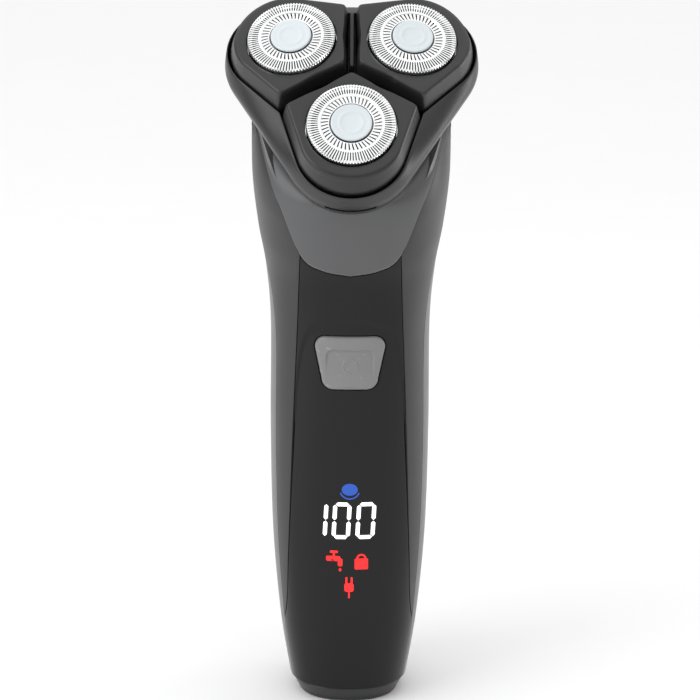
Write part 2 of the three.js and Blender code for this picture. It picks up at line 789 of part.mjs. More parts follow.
function skirtForm(inset, overshoot) {
  const stack = skirtLevels.map((share) => skirtRing(share, inset, 0));
  if (overshoot > 0) {
    stack.unshift(skirtRing(0, inset, -overshoot));
    stack.push(skirtRing(1, inset, overshoot));
  }
  return loft(stack);
}

function headSkirt() {
  const outside = skirtForm(0, 0);
  const floorTop = -neckDepth + gap + floorThickness;
  const floor = outside.intersect(box(-far, far, -far, far, -far, floorTop))
    .subtract(extruded(neckOutline(wall + 0.9), -far, far));
  const shell = outside.subtract(skirtForm(skirtWall, 2)).add(floor);
  const lugs = [-1, 1].flatMap((side) => {
    const x0 = side > 0 ? knuckleHalf + gap : -knuckleHalf - gap - sideKnuckle;
    const x1 = x0 + sideKnuckle;
    const lug = box(x0, x1, neckBack + 0.3, hingeOut + 1, -hingeDepth, -hingeDepth + 7);
    return [lug, barrel(knuckleRadius, x0, x1)];
  });
  const pocket = loft([
    podRing(-podHeight - 1.6, -slack, -slack),
    podRing(podHeight, -slack, -slack),
  ]);
  const pockets = Object.values(lobeAngles).map((degrees) => pocket
    .rotate([THREE.MathUtils.radToDeg(cutterLean), 0, 0])
    .translate([0, -cutterRadius, 0])
    .rotate([0, 0, degrees + 90]));
  const clear = joined([barrel(pinRadius + gap, -far, far), fingerNotch(), ...pockets]);
  return joined([shell, ...lugs]).subtract(clear);
}

// The slot in the front lip that a fingernail opens the head by.
function fingerNotch() {
  return box(-6, 6, -far, -neckFront - 0.4, -neckDepth + 3.8, -neckDepth + 5);
}

function headFrame() {
  const topZ = -frameTop;
  const lowZ = topZ - frameThickness;
  const plate = box(-far, far, -far, far, lowZ, topZ).intersect(skirtForm(skirtWall + gap, 2));
  const holes = lobes((x, y) => moved(disc(chamberRadius - 0.1, lowZ - 1, topZ + 1, 24), x, y, 0));
  const ribs = screwAngles.map((degrees) => box(1.2, ribLength, -ribWidth / 2, ribWidth / 2,
    topZ - 0.5, degrees === 90 ? ribTop : lowRibTop).rotate([0, 0, degrees]));
  const hub = disc(2.2, lowZ, topZ + 1.5, 12);
  return joined([plate.subtract(joined(holes)), ...ribs, hub]);
}

function lobes(make) {
  return Object.values(lobeAngles).map((degrees) => {
    const angle = THREE.MathUtils.degToRad(degrees);
    return make(cutterRadius * Math.cos(angle), cutterRadius * Math.sin(angle));
  });
}

// ---------------------------------------------------------------- pod and what it holds
// Each is modelled about its cutter's axis, with +Y towards the head's middle.

// Distance from the cutter's axis to the pod's outline: a round front, and four straight sides.
function podReach(angle, inset, armStep) {
  const facing = (normal, distance) => {
    const cos = Math.cos(angle - normal);
    return cos > 1e-6 ? distance / cos : Infinity;
  };
  const fromFront = Math.abs(((angle + Math.PI / 2 + Math.PI) % (2 * Math.PI)) - Math.PI);
  const touchX = podRadius * Math.cos(podTouch);
  const touchY = podRadius * Math.sin(podTouch) - podShift;
  const round = Math.PI / 2 + Math.atan2(touchY, touchX);
  const bevel = THREE.MathUtils.lerp(1, sideBevel, THREE.MathUtils.smoothstep(fromFront, 0, round));
  const step = inset > 0 ? inset * bevel : inset;
  if (fromFront <= round) {
    const ahead = -podShift * Math.sin(angle);
    return ahead + Math.sqrt(ahead * ahead - podShift * podShift + podRadius * podRadius) - step;
  }
  const armDistance = podApex * Math.cos(armSlope) - armInset - armStep;
  const armNormal = Math.PI / 2 - armSlope;
  return Math.min(
    facing(armNormal, armDistance),
    facing(Math.PI - armNormal, armDistance),
    facing(podTouch, podSide) - step,
    facing(Math.PI - podTouch, podSide) - step,
  );
}

function podRing(z, inset, armStep) {
  const count = 32;
  return Array.from({ length: count }, (_, j) => {
    const angle = 2 * Math.PI * j / count;
    return new THREE.Vector3(Math.cos(angle), Math.sin(angle), 0)
      .multiplyScalar(podReach(angle, inset, armStep))
      .setZ(z);
  });
}

function pod() {
  const form = loft([
    podRing(-podHeight, 0.1, 0.1),
    podRing(-podEdge, 0, 0),
    podRing(-0.9, podBevel - 0.2, 0.12),
    podRing(0, podBevel + 0.7, 0.55),
  ]);
  const mouth = disc(guardRadius + gap, -far, far, 28);
  const chamber = disc(chamberRadius, -far, -podPlate, 28);
  return form.subtract(joined([mouth, chamber]));
}

function slots(count, inner, outer) {
  const z0 = guardTop - guardPlate - 1;
  return Array.from({ length: count }, (_, k) => box(inner, outer, -slotWidth / 2, slotWidth / 2,
    z0, guardTop + 1).rotate([0, 0, 360 * k / count]));
}

function guard() {
  const flangeTop = -guardDrop + flangeThickness;
  const body = turned([
    [0, guardTop - guardPlate], [guardRadius - 1, guardTop - guardPlate],
    [guardRadius - 1, -guardDrop], [guardRadius + flangeWidth, -guardDrop],
    [guardRadius + flangeWidth, flangeTop], [guardRadius, flangeTop],
    [guardRadius, guardTop - 0.4], [guardRadius - 0.4, guardTop], [0, guardTop],
  ], 28);
  const seat = disc(capRadius + gap, guardTop - guardPlate / 2, guardTop + 1, 20);
  const hole = disc(1.5, -1, guardTop + 1, 10);
  const cuts = joined([
    seat, hole,
    ...slots(outerSlots, 0.75 * guardRadius, 0.93 * guardRadius - 0.4),
    ...slots(innerSlots, capRadius + gap + 0.3, 0.675 * guardRadius),
  ]);
  return body.subtract(cuts);
}

function guardCap() {
  const low = guardTop - guardPlate / 2 + gap;
  return turned([
    [0, guardTop - guardPlate], [1.2, guardTop - guardPlate], [1.2, low], [capRadius, low],
    [capRadius, low + 0.3], [capRadius - 0.3, low + 0.5], [0, low + 0.5],
  ], 20);
}

function cutter() {
  const floor = -cupFloor;
  const body = turned([
    [0, floor], [cupInner, floor], [cupInner, -cupEnd], [cupOuter, -cupEnd],
    [cupOuter, floor + 1.2], [guardRadius - 1.7, floor + 1.8], [guardRadius - 1.7, floor + 2.6],
    [0, floor + 2.6],
  ], 20);
  const bladeTop = guardTop - guardPlate - gap;
  const blades = Array.from({ length: bladeCount }, (_, k) => joined([
    box(0.74 * guardRadius, guardRadius - 1.9, -0.25, 0.25, floor + 2.2, bladeTop),
    box(5.1, 0.66 * guardRadius, -0.25, 0.25, floor + 2.2, bladeTop),
  ]).rotate([0, 0, 360 * k / bladeCount]));
  return joined([body, ...blades]);
}

function retainingRing() {
  const topZ = -guardDrop - guardTravel - gap - 0.2;
  const lowZ = topZ - ringHeight;
  const body = ring(ringInner, chamberRadius - gap, lowZ, topZ, 28);
  const grips = [0, 120, 240].map((degrees) => box(ringInner + 1, chamberRadius - 1.1, -0.5, 0.5,
    lowZ - 0.7, lowZ + 0.3).rotate([0, 0, degrees]));
  return joined([body, ...grips]);
}

// ---------------------------------------------------------------- assembly

function finish(color, roughness, metalness) {
  return new THREE.MeshStandardMaterial({ color, roughness, metalness });
}

const satinBlack = finish(0x2b2b2d, 0.42, 0);
const satinGrey = finish(0x55575a, 0.4, 0.1);
const trimGrey = finish(0x414346, 0.4, 0.1);
const collarGrey = finish(0x606265, 0.36, 0.3);
const gloss = finish(0x0c0c0e, 0.08, 0);
const buttonGrey = finish(0x8c8e90, 0.4, 0.1);
const steel = finish(0xc9cccf, 0.22, 1);
const paleCap = finish(0xd5dde2, 0.4, 0);
const nylon = finish(0xe6e4dc, 0.5, 0);
const darkNylon = finish(0x3a3b3d, 0.5, 0);
const cellWrap = finish(0x2f6fb0, 0.35, 0);
const boardGreen = finish(0x1c5a3a, 0.45, 0);
const rubber = finish(0x1a1a1c, 0.8, 0);

const shaver = new THREE.Group();

function add(parent, name, solid, material) {
  const mesh = new THREE.Mesh(geometryOf(solid), material);
  mesh.name = name;
  parent.add(mesh);
}

const shells = handleShells();
add(shaver, 'rear_shell', shells.rear_shell, satinGrey);
add(shaver, 'front_panel', shells.front_panel, gloss);
add(shaver, 'neck_collar', shells.neck_collar, collarGrey);
add(shaver, 'side_trim_left', shells.side_trim_left, trimGrey);
add(shaver, 'side_trim_right', shells.side_trim_right, trimGrey);
add(shaver, 'base_cap', baseCap(), satinBlack);
add(shaver, 'chassis', chassis(), darkNylon);
add(shaver, 'battery', battery(), cellWrap);
add(shaver, 'battery_tab_lower', batteryTab(batteryZ - gap - 0.5), steel);
add(shaver, 'battery_tab_upper', batteryTab(batteryZ + batteryLength + 1 + gap), steel);
add(shaver, 'circuit_board', circuitBoard(), boardGreen);
add(shaver, 'display_module', displayModule(), rubber);
add(shaver, 'tact_switch', tactSwitch(), steel);
add(shaver, 'power_button', powerButton(), buttonGrey);
add(shaver, 'usb_socket', usbSocket(), steel);
add(shaver, 'charge_board', chargeBoard(), boardGreen);

const headGroup = new THREE.Group();
headGroup.position.copy(face);
headGroup.rotation.x = headTilt;
shaver.add(headGroup);

add(headGroup, 'drive_deck', driveDeck(), darkNylon);
add(headGroup, 'gear_plate', gearPlate(), steel);
add(headGroup, 'motor_can', motorCan(), steel);
add(headGroup, 'motor_endcap', motorEndcap(), nylon);
add(headGroup, 'motor_shaft', motorShaft(), steel);
add(headGroup, 'pinion', pinion(), nylon);
add(headGroup, 'chamber_seal', chamberSeal(), rubber);
add(headGroup, 'hinge_bracket', hingeBracket(), satinBlack);
add(headGroup, 'hinge_pin', hingePin(), steel);
add(headGroup, 'head_skirt', headSkirt(), satinBlack);
add(headGroup, 'head_frame', headFrame(), satinBlack);
screwPlaces.forEach(([x, y], i) => {
  const headZ = plateTop - plateThickness - gap;
  add(headGroup, `plate_screw_${i + 1}`, moved(screw(headZ, 6), x, y, 0), steel);
});

for (const [place, degrees] of Object.entries(lobeAngles)) {
  const lobe = new THREE.Group();
  lobe.rotation.z = THREE.MathUtils.degToRad(degrees + 90);
  headGroup.add(lobe);

  const drive = new THREE.Group();
  drive.position.y = -spindleOffset;
  lobe.add(drive);
  const driven = gear(gearTeeth, -gearDepth - gearThickness, -gearDepth, spindleRadius + gap)
    .rotate([0, 0, meshAngle(degrees) - degrees - 90]);
  add(drive, `drive_gear_${place}`, driven, nylon);
  add(drive, `spindle_${place}`, spindle(), nylon);

  const podGroup = new THREE.Group();
  podGroup.position.y = -cutterRadius;
  podGroup.rotation.x = cutterLean;
  lobe.add(podGroup);
  add(podGroup, `pod_${place}`, pod(), satinBlack);
  add(podGroup, `guard_${place}`, guard(), steel);
  add(podGroup, `guard_cap_${place}`, guardCap(), paleCap);
  add(podGroup, `cutter_${place}`, cutter(), steel);
  add(podGroup, `retaining_ring_${place}`, retainingRing(), darkNylon);
}

export default shaver;
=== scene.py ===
# The shaver's visual model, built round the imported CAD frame. Lengths are in mm until mesh_object,
# which scales them to metres. +Z is up and the front faces -Y, as in the frame.
import bmesh
import bpy
import math
from mathutils import Matrix, Vector


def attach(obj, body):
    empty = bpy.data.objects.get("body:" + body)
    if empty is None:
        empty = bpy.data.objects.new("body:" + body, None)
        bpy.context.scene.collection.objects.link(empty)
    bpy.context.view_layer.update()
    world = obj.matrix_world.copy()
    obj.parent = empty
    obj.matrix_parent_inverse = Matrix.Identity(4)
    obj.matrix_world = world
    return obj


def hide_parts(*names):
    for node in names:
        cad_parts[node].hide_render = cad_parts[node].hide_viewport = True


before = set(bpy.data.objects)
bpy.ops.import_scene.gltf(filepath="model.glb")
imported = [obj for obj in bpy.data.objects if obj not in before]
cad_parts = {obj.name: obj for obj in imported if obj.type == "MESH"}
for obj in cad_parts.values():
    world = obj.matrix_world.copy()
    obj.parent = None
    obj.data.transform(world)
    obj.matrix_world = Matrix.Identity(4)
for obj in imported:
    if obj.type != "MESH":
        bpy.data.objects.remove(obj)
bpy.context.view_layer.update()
MM = 0.001

# ------------------------------------------------------------ driving dimensions, as in the CAD
GAP = 0.3
SLACK = 0.4
GRIP_HALF = 19.0
GRIP_FRONT = 17.6
GRIP_BACK = 19.2
NECK_HEIGHT = 105.0
WALL = 1.8
CAP_HEIGHT = 4.3
CAP_INSET = 0.7
CAP_TAPER = 1.3
TILT = math.radians(43)
HEAD_FORWARD = 17.0
HEAD_RISE = 52.3
NECK_DEPTH = 16.0
NECK_HALF = 23.0
NECK_FRONT = 27.2
NECK_BACK = 22.0
NECK_POWER = 2.6
NECK_TUCK = 0.9
CUTTER_RADIUS = 15.8
LEAN = math.radians(6)
GUARD_RADIUS = 10.0
GUARD_TOP = 1.2
GUARD_PLATE = 0.8
GUARD_DROP = 3.0
CAP_RADIUS = 4.6
POD_RADIUS = 12.6
POD_SHIFT = 2.2
CHAMBER_RADIUS = 11.9
SIDE_BEVEL = 0.55
POD_HEIGHT = 6.0
POD_EDGE = 4.9
POD_PLATE = 1.8
POD_APEX = 14.8
POD_CORNER_X = 15.7
ARM_INSET = 0.35
LOBE_RADIUS = 15.0
RIM_WALL = 0.95
RIM_EDGE = 0.5                  # the rim is drawn finer than the CAD's
SKIRT_WALL = 1.6
FOOT_RADIUS = 13.3
FLOOR_THICKNESS = 1.3
FRAME_TOP = 8.4
FRAME_THICKNESS = 1.6
RIB_WIDTH = 1.1
RIB_LENGTH = 16.2
RIB_TOP = -0.8
SIDE_RIB_TOP = -3.2
SLOT_LOW = -12.2
SLOT_HIGH = -11.0
HINGE_OUT = 24.6
HINGE_DEPTH = 17.0
KNUCKLE_RADIUS = 2.0
KNUCKLE_HALF = 5.0
SIDE_KNUCKLE = 3.6
BUTTON_Z = 88.0
BUTTON_TOP = 8.2
BUTTON_LOW = 6.6
BUTTON_HALF = 6.4
BUTTON_CORNER = 2.6
PORT_Y = 5.5
PORT_HALF = 4.45
PORT_RADIUS = 1.6
LOBES = {"lower": -90, "right": 30, "left": 150}

HEAD_OUT = Vector((0, -math.sin(TILT), math.cos(TILT)))
HEAD_BACK = Vector((0, math.cos(TILT), math.sin(TILT)))
FACE = Vector((0, -HEAD_FORWARD, NECK_HEIGHT + HEAD_RISE))
NECK_CENTRE = FACE - HEAD_OUT * NECK_DEPTH
HEAD_FRAME = Matrix.Translation(FACE) @ Matrix.Rotation(TILT, 4, "X")


def lerp(a, b, t):
    return a + (b - a) * t


def smoothstep(x, low, high):
    t = min(1.0, max(0.0, (x - low) / (high - low)))
    return t * t * (3 - 2 * t)


# ------------------------------------------------------------ outlines about the head's axis
def off_lobe(angle):
    """How far a direction is turned from the nearest cutter, 0 to 60 degrees in radians."""
    third = 2 * math.pi / 3
    turn = (angle - math.radians(LOBES["lower"])) % third
    return min(turn, third - turn)


def circle_reach(off, out, radius):
    across = out * math.sin(off)
    return out * math.cos(off) + math.sqrt(radius * radius - across * across)


def hull_reach(angle, radius):
    """From the head's axis to the hull of three circles about the cutters."""
    off = off_lobe(angle)
    half = math.pi / 3
    touch = math.atan2(radius * math.sin(half), CUTTER_RADIUS + radius * math.cos(half))
    if off > touch:
        return (CUTTER_RADIUS * math.cos(half) + radius) / math.cos(half - off)
    return circle_reach(off, CUTTER_RADIUS, radius)


def neck_reach(angle):
    reach = NECK_FRONT if math.sin(angle) < 0 else NECK_BACK
    x = abs(math.cos(angle) / NECK_HALF) ** NECK_POWER
    y = abs(math.sin(angle) / reach) ** NECK_POWER
    return (x + y) ** (-1 / NECK_POWER)


def foot_reach(angle):
    """From the head's axis to the skirt's lower edge: it follows the cutters and, at the back, the neck."""
    hull = hull_reach(angle, FOOT_RADIUS)
    return max(hull, neck_reach(angle)) if math.sin(angle) > 0.5 else hull


# ------------------------------------------------------------ the handle's form
def along(stations, t):
    """A smooth value between evenly counted stations."""
    i = min(int(t), len(stations) - 2)
    f = t - i
    a, b = stations[max(i - 1, 0)], stations[i]
    c, d = stations[i + 1], stations[min(i + 2, len(stations) - 1)]
    return [0.5 * (2 * q + (r - p) * f + (2 * p - 5 * q + 4 * r - s) * f * f
                   + (3 * q - p - 3 * r + s) * f ** 3) for p, q, r, s in zip(a, b, c, d)]


def handle_stations():
    """Front y and z, back y and z, half width, where the widest point is, squareness."""
    grip = []
    shape = [(CAP_HEIGHT / NECK_HEIGHT, -3.6, -4.7, -4.7), (0.19, -1.8, -2.5, -2.3),
             (0.4, -0.6, -0.9, -0.5), (0.65, 0, 0, 0), (0.895, 0.2, 0.4, -0.1), (1, 0.9, 1.3, 1)]
    for share, front, back, side in shape:
        z = share * NECK_HEIGHT
        lean = 7 if share == 1 else 0
        grip.append([-GRIP_FRONT - front, z, GRIP_BACK + back, z + lean, GRIP_HALF + side, 0.48, 2.3])
    front = NECK_CENTRE - HEAD_BACK * NECK_FRONT
    back = NECK_CENTRE + HEAD_BACK * NECK_BACK
    share = NECK_FRONT / (NECK_FRONT + NECK_BACK)
    neck = [front.y, front.z, back.y, back.z, NECK_HALF, share, NECK_POWER]

    def between(amount, back_step, side_step):
        values = [lerp(a, b, amount) for a, b in zip(grip[-1], neck)]
        values[2] += back_step
        values[4] += side_step
        return values

    return grip + [between(1 / 3, 5, 0.9), between(2 / 3, 8.2, 1.1), neck]


STATIONS = handle_stations()
LEVELS = len(STATIONS) - 1


def rounded(value, power):
    return math.copysign(abs(value) ** (2 / power), value)


def on_handle(turn, level, inset=0.0):
    """A point of the handle's form. turn is in radians from +X, level from 0 at the base cap to 1."""
    front_y, front_z, back_y, back_z, half, share, power = along(STATIONS, level * LEVELS)
    across = Vector((0, back_y - front_y, back_z - front_z))
    length = across.length
    across.normalize()
    centre = Vector((0, front_y, front_z)) + across * (share * length)
    reach = share * length if math.sin(turn) < 0 else (1 - share) * length
    x = rounded(math.cos(turn), power) * (half - inset)
    y = rounded(math.sin(turn), power) * (reach - inset)
    rise = min(1.0, max(0.0, level * LEVELS - LEVELS + 1))
    if rise > 0:                # the neck's top rounds over to fit under the head's edge
        limit = foot_reach(math.atan2(y, x)) - NECK_TUCK - inset
        scale = lerp(1, min(1, limit / math.hypot(x, y)), 1 - math.sqrt(1 - rise * rise))
        x, y = x * scale, y * scale
    point = centre + across * y
    point.x = x
    return point


def solve(test, low, high, steps=26):
    """Where test changes sign between low and high; the end that it favours where it doesn't."""
    at_low, at_high = test(low), test(high)
    if at_low * at_high > 0:
        return low if abs(at_low) < abs(at_high) else high
    for _ in range(steps):
        middle = (low + high) / 2
        if test(middle) * at_low > 0:
            low = middle
        else:
            high = middle
    return (low + high) / 2


def curve_through(points):
    """A smooth y for any x along points that rise in x (Catmull-Rom on uneven steps)."""
    xs = [p[0] for p in points]
    ys = [p[1] for p in points]
    slopes = []
    for i in range(len(xs)):
        a, b = max(i - 1, 0), min(i + 1, len(xs) - 1)
        slopes.append((ys[b] - ys[a]) / (xs[b] - xs[a]))

    def value(x):
        x = min(max(x, xs[0]), xs[-1])
        i = max(k for k in range(len(xs) - 1) if xs[k] <= x)
        h = xs[i + 1] - xs[i]
        t = (x - xs[i]) / h
        return ((2 * t ** 3 - 3 * t * t + 1) * ys[i] + (t ** 3 - 2 * t * t + t) * h * slopes[i]
                + (3 * t * t - 2 * t ** 3) * ys[i + 1] + (t ** 3 - t * t) * h * slopes[i + 1])

    return value


# Seam between the rear shell and the side trims: y for a height z.
rear_seam = curve_through([(0, -2), (0.13 * NECK_HEIGHT, -6.5), (0.32 * NECK_HEIGHT, -8),
                           (0.6 * NECK_HEIGHT, -8.2), (0.9 * NECK_HEIGHT, -8),
                           (1.1 * NECK_HEIGHT, -4.5), (1.23 * NECK_HEIGHT, 0.5),
                           (1.43 * NECK_HEIGHT, 8), (1.6 * NECK_HEIGHT, 13)])
# Side edge of the glossy panel: x for a height z.
panel_edge = curve_through([(0.05 * NECK_HEIGHT, 20.5), (0.13 * NECK_HEIGHT, 17.2),
                            (0.22 * NECK_HEIGHT, 15.1), (0.36 * NECK_HEIGHT, 14.5),
                            (0.66 * NECK_HEIGHT, 13.4), (0.93 * NECK_HEIGHT, 12.2),
                            (1.08 * NECK_HEIGHT, 11.6), (1.25 * NECK_HEIGHT, 10.6)])
# Lower edge of the collar: z for a distance x from the middle.
COLLAR_LOW = NECK_HEIGHT + 4.4
collar_edge = curve_through([(0, COLLAR_LOW), (6.6, COLLAR_LOW + 1.3), (11.3, COLLAR_LOW + 4.5),
                             (15.6, COLLAR_LOW + 15.6), (18, COLLAR_LOW + 21.4),
                             (21, COLLAR_LOW + 31.7), (23.5, COLLAR_LOW + 42)])


# ------------------------------------------------------------ mesh helpers
def mesh_object(name, verts, faces, smooth=True):
    mesh = bpy.data.meshes.new(name)
    mesh.from_pydata([Vector(v) * MM for v in verts], [], faces)
    mesh.update()
    obj = bpy.data.objects.new(name, mesh)
    bpy.context.scene.collection.objects.link(obj)
    work = bmesh.new()
    work.from_mesh(mesh)
    bmesh.ops.remove_doubles(work, verts=work.verts, dist=1e-7)
    bmesh.ops.recalc_face_normals(work, faces=work.faces)
    work.to_mesh(mesh)
    work.free()
    if smooth:
        for polygon in mesh.polygons:
            polygon.use_smooth = True
    return obj


def apply_modifiers(obj):
    bpy.context.view_layer.update()
    graph = bpy.context.evaluated_depsgraph_get()
    mesh = bpy.data.meshes.new_from_object(obj.evaluated_get(graph))
    obj.modifiers.clear()
    old = obj.data
    obj.data = mesh
    bpy.data.meshes.remove(old)
    return obj


def sharp_by_angle(obj, degrees=38):
    """Smooth shading, with edges sharper than the angle kept crisp."""
    limit = math.radians(degrees)
    work = bmesh.new()
    work.from_mesh(obj.data)
    for edge in work.edges:
        edge.smooth = not (len(edge.link_faces) == 2 and edge.calc_face_angle(0) > limit)
    for one in work.faces:
        one.smooth = True
    work.to_mesh(obj.data)
    work.free()
    return obj


def add_bevel(obj, width, segments=3, angle=40):
    bevel = obj.modifiers.new("bevel", "BEVEL")
    bevel.width = width * MM
    bevel.segments = segments
    bevel.limit_method = "ANGLE"
    bevel.angle_limit = math.radians(angle)
    bevel.harden_normals = False
    return obj


def shell_from_grid(name, grid, thickness, round_edge=0.25, closed=False):
    """A wall of the given thickness behind a grid of outer points, with rounded edges.
    grid[i][j] are rows; closed joins each row's last point to its first."""
    rows, columns = len(grid), len(grid[0])
    verts = [point for row in grid for point in row]
    faces = []
    last = columns if closed else columns - 1
    for i in range(rows - 1):
        for j in range(last):
            k = (j + 1) % columns
            faces.append((i * columns + j, i * columns + k, (i + 1) * columns + k, (i + 1) * columns + j))
    obj = mesh_object(name, verts, faces)
    outward(obj)
    solid = obj.modifiers.new("wall", "SOLIDIFY")
    solid.thickness = thickness * MM
    solid.offset = -1
    solid.use_even_offset = True
    if round_edge > 0:
        add_bevel(obj, round_edge)
    apply_modifiers(obj)
    return sharp_by_angle(obj)


def outward(obj):
    """Turns an open sheet so that its faces look away from the handle's middle line."""
    mesh = obj.data
    total = sum(p.area * p.normal.dot(p.center - Vector((0, 0.003, p.center.z))) for p in mesh.polygons)
    if total < 0:
        mesh.flip_normals()


def cut(obj, tool, thorough=False):
    """Takes tool away from obj and removes it; thorough copes with a surface that touches itself."""
    boolean = obj.modifiers.new("cut", "BOOLEAN")
    boolean.operation = "DIFFERENCE"
    boolean.solver = "EXACT"
    boolean.use_self = thorough
    boolean.object = tool
    apply_modifiers(obj)
    bpy.data.objects.remove(tool)
    return obj


def join(name, objects):
    """Joins mesh objects into the first, as separate closed parts of one piece."""
    work = bmesh.new()
    materials = []
    for obj in objects:
        start = len(work.faces)
        work.from_mesh(obj.data)
        work.faces.ensure_lookup_table()
        for slot in obj.data.materials:
            if slot not in materials:
                materials.append(slot)
        for one in work.faces[start:]:
            if obj.data.materials:
                one.material_index = materials.index(obj.data.materials[one.material_index])
    mesh = bpy.data.meshes.new(name)
    work.to_mesh(mesh)
    work.free()
    for material in materials:
        mesh.materials.append(material)
    joined = bpy.data.objects.new(name, mesh)
    bpy.context.scene.collection.objects.link(joined)
    for obj in objects:
        bpy.data.objects.remove(obj)
    return joined


# ------------------------------------------------------------ materials
def shader(name, color, roughness, metallic=0.0, grain=None, bump=0.0, tint=0.04, spread=0.05,
           coat=0.0, coat_roughness=0.05, specular=0.5, stretch=(1, 1, 1), streak=0.0, edge_highlight=0.0):
    """A plastic or metal with fine grain in its bump, and slow changes of colour and roughness.
    grain is the size of the texture in mm; streak adds brushed lines along X of its own space."""
    material = bpy.data.materials.new(name)
    material.use_nodes = True
    nodes, links = material.node_tree.nodes, material.node_tree.links
    surface = nodes["Principled BSDF"]
    surface.inputs["Metallic"].default_value = metallic
    surface.inputs["Specular IOR Level"].default_value = specular
    surface.inputs["Coat Weight"].default_value = coat
    surface.inputs["Coat Roughness"].default_value = coat_roughness
    place = nodes.new("ShaderNodeTexCoord")
    mapping = nodes.new("ShaderNodeMapping")
    mapping.inputs["Scale"].default_value = stretch
    links.new(place.outputs["Object"], mapping.inputs["Vector"])

    def noise(size, detail):
        node = nodes.new("ShaderNodeTexNoise")
        node.inputs["Scale"].default_value = 1 / (size * MM)
        node.inputs["Detail"].default_value = detail
        links.new(mapping.outputs["Vector"], node.inputs["Vector"])
        return node

    def ranged(source, low, high):
        node = nodes.new("ShaderNodeMapRange")
        node.inputs["From Min"].default_value = 0.3
        node.inputs["From Max"].default_value = 0.7
        node.inputs["To Min"].default_value = low
        node.inputs["To Max"].default_value = high
        links.new(source, node.inputs["Value"])
        return node

    broad = noise(22, 3)
    mix = nodes.new("ShaderNodeMix")
    mix.data_type = "RGBA"
    mix.inputs["A"].default_value = [c * (1 - tint) for c in color] + [1]
    mix.inputs["B"].default_value = [min(1, c * (1 + tint)) for c in color] + [1]
    links.new(broad.outputs["Fac"], mix.inputs["Factor"])
    colour = mix.outputs["Result"]
    # Painted highlight: convex edges, found by pointiness, get a lighter colour in place of the light their
    # rounded edges catch.
    if edge_highlight > 0:
        geometry = nodes.new("ShaderNodeNewGeometry")
        edge = nodes.new("ShaderNodeMapRange")
        edge.inputs["From Min"].default_value = 0.53
        edge.inputs["From Max"].default_value = 0.62
        edge.inputs["To Max"].default_value = edge_highlight
        links.new(geometry.outputs["Pointiness"], edge.inputs["Value"])
        lighter = nodes.new("ShaderNodeMix")
        lighter.data_type = "RGBA"
        lighter.inputs["B"].default_value = [min(1, c * 2.2 + 0.02) for c in color] + [1]
        links.new(edge.outputs["Result"], lighter.inputs["Factor"])
        links.new(colour, lighter.inputs["A"])
        colour = lighter.outputs["Result"]
    links.new(colour, surface.inputs["Base Color"])
    smudge = noise(6, 4)
    level = ranged(smudge.outputs["Fac"], roughness * (1 - spread), roughness * (1 + spread))
    links.new(level.outputs["Result"], surface.inputs["Roughness"])
    if grain:
        fine = noise(grain, 2)
        relief = nodes.new("ShaderNodeBump")
        relief.inputs["Strength"].default_value = bump
        relief.inputs["Distance"].default_value = 0.05 * MM
        height = fine.outputs["Fac"]
        if streak > 0:
            lines = nodes.new("ShaderNodeTexNoise")
            lines.inputs["Scale"].default_value = 1 / (0.25 * MM)
            lines.inputs["Detail"].default_value = 3
            long = nodes.new("ShaderNodeMapping")
            long.inputs["Scale"].default_value = (1, 1, 0.04)
            links.new(place.outputs["Object"], long.inputs["Vector"])
            links.new(long.outputs["Vector"], lines.inputs["Vector"])
            both = nodes.new("ShaderNodeMix")
            both.inputs["Factor"].default_value = streak
            links.new(height, both.inputs["A"])
            links.new(lines.outputs["Fac"], both.inputs["B"])
            height = both.outputs["Result"]
        links.new(height, relief.inputs["Height"])
        links.new(relief.outputs["Normal"], surface.inputs["Normal"])
    return material


def glowing(name, color, strength):
    """A lit segment behind the panel: emission that falls off a little in patches."""
    material = bpy.data.materials.new(name)
    material.use_nodes = True
    nodes, links = material.node_tree.nodes, material.node_tree.links
    surface = nodes["Principled BSDF"]
    surface.inputs["Base Color"].default_value = [*[c * 0.6 for c in color], 1]
    surface.inputs["Roughness"].default_value = 0.35
    surface.inputs["Emission Color"].default_value = [*color, 1]
    noise = nodes.new("ShaderNodeTexNoise")
    noise.inputs["Scale"].default_value = 1 / (2.5 * MM)
    spread = nodes.new("ShaderNodeMapRange")
    spread.inputs["To Min"].default_value = strength * 0.94
    spread.inputs["To Max"].default_value = strength * 1.06
    links.new(noise.outputs["Fac"], spread.inputs["Value"])
    links.new(spread.outputs["Result"], surface.inputs["Emission Strength"])
    return material


# Several finishes below paint a highlight, a lighter colour, on their convex edges.
satin_grey = shader("satin_grey", (0.13, 0.13, 0.135), 0.36, grain=0.22, bump=0.16, edge_highlight=0.25)
trim_grey = shader("trim_grey", (0.03, 0.03, 0.0315), 0.4, grain=0.2, bump=0.18, edge_highlight=0.2)
collar_grey = shader("collar_grey", (0.1, 0.101, 0.104), 0.38, metallic=0.15, grain=0.16, bump=0.12,
                     edge_highlight=0.3)
piano_black = shader("piano_black", (0.0045, 0.0045, 0.005), 0.035, grain=9, bump=0.01, spread=0.35,
                     specular=0.3)
satin_black = shader("satin_black", (0.0215, 0.0215, 0.0225), 0.36, grain=0.2, bump=0.16, edge_highlight=0.22)
pod_black = shader("pod_black", (0.019, 0.019, 0.0195), 0.33, grain=0.2, bump=0.12, edge_highlight=0.22)
rib_black = shader("rib_black", (0.012, 0.012, 0.0125), 0.42, grain=0.2, bump=0.14)
button_grey = shader("button_grey", (0.215, 0.215, 0.22), 0.38, grain=0.18, bump=0.14, edge_highlight=0.2)
guard_chrome = shader("guard_chrome", (0.86, 0.865, 0.87), 0.12, metallic=1, grain=0.3, bump=0.04,
                      spread=0.3)
cap_pale = shader("cap_pale", (0.66, 0.71, 0.735), 0.3, grain=0.3, bump=0.03, coat=0.3)
cutter_steel = shader("cutter_steel", (0.32, 0.325, 0.33), 0.34, metallic=1, grain=0.2, bump=0.12)
bright_steel = shader("bright_steel", (0.6, 0.61, 0.62), 0.28, metallic=1, grain=0.2, bump=0.1,
                      streak=0.6)
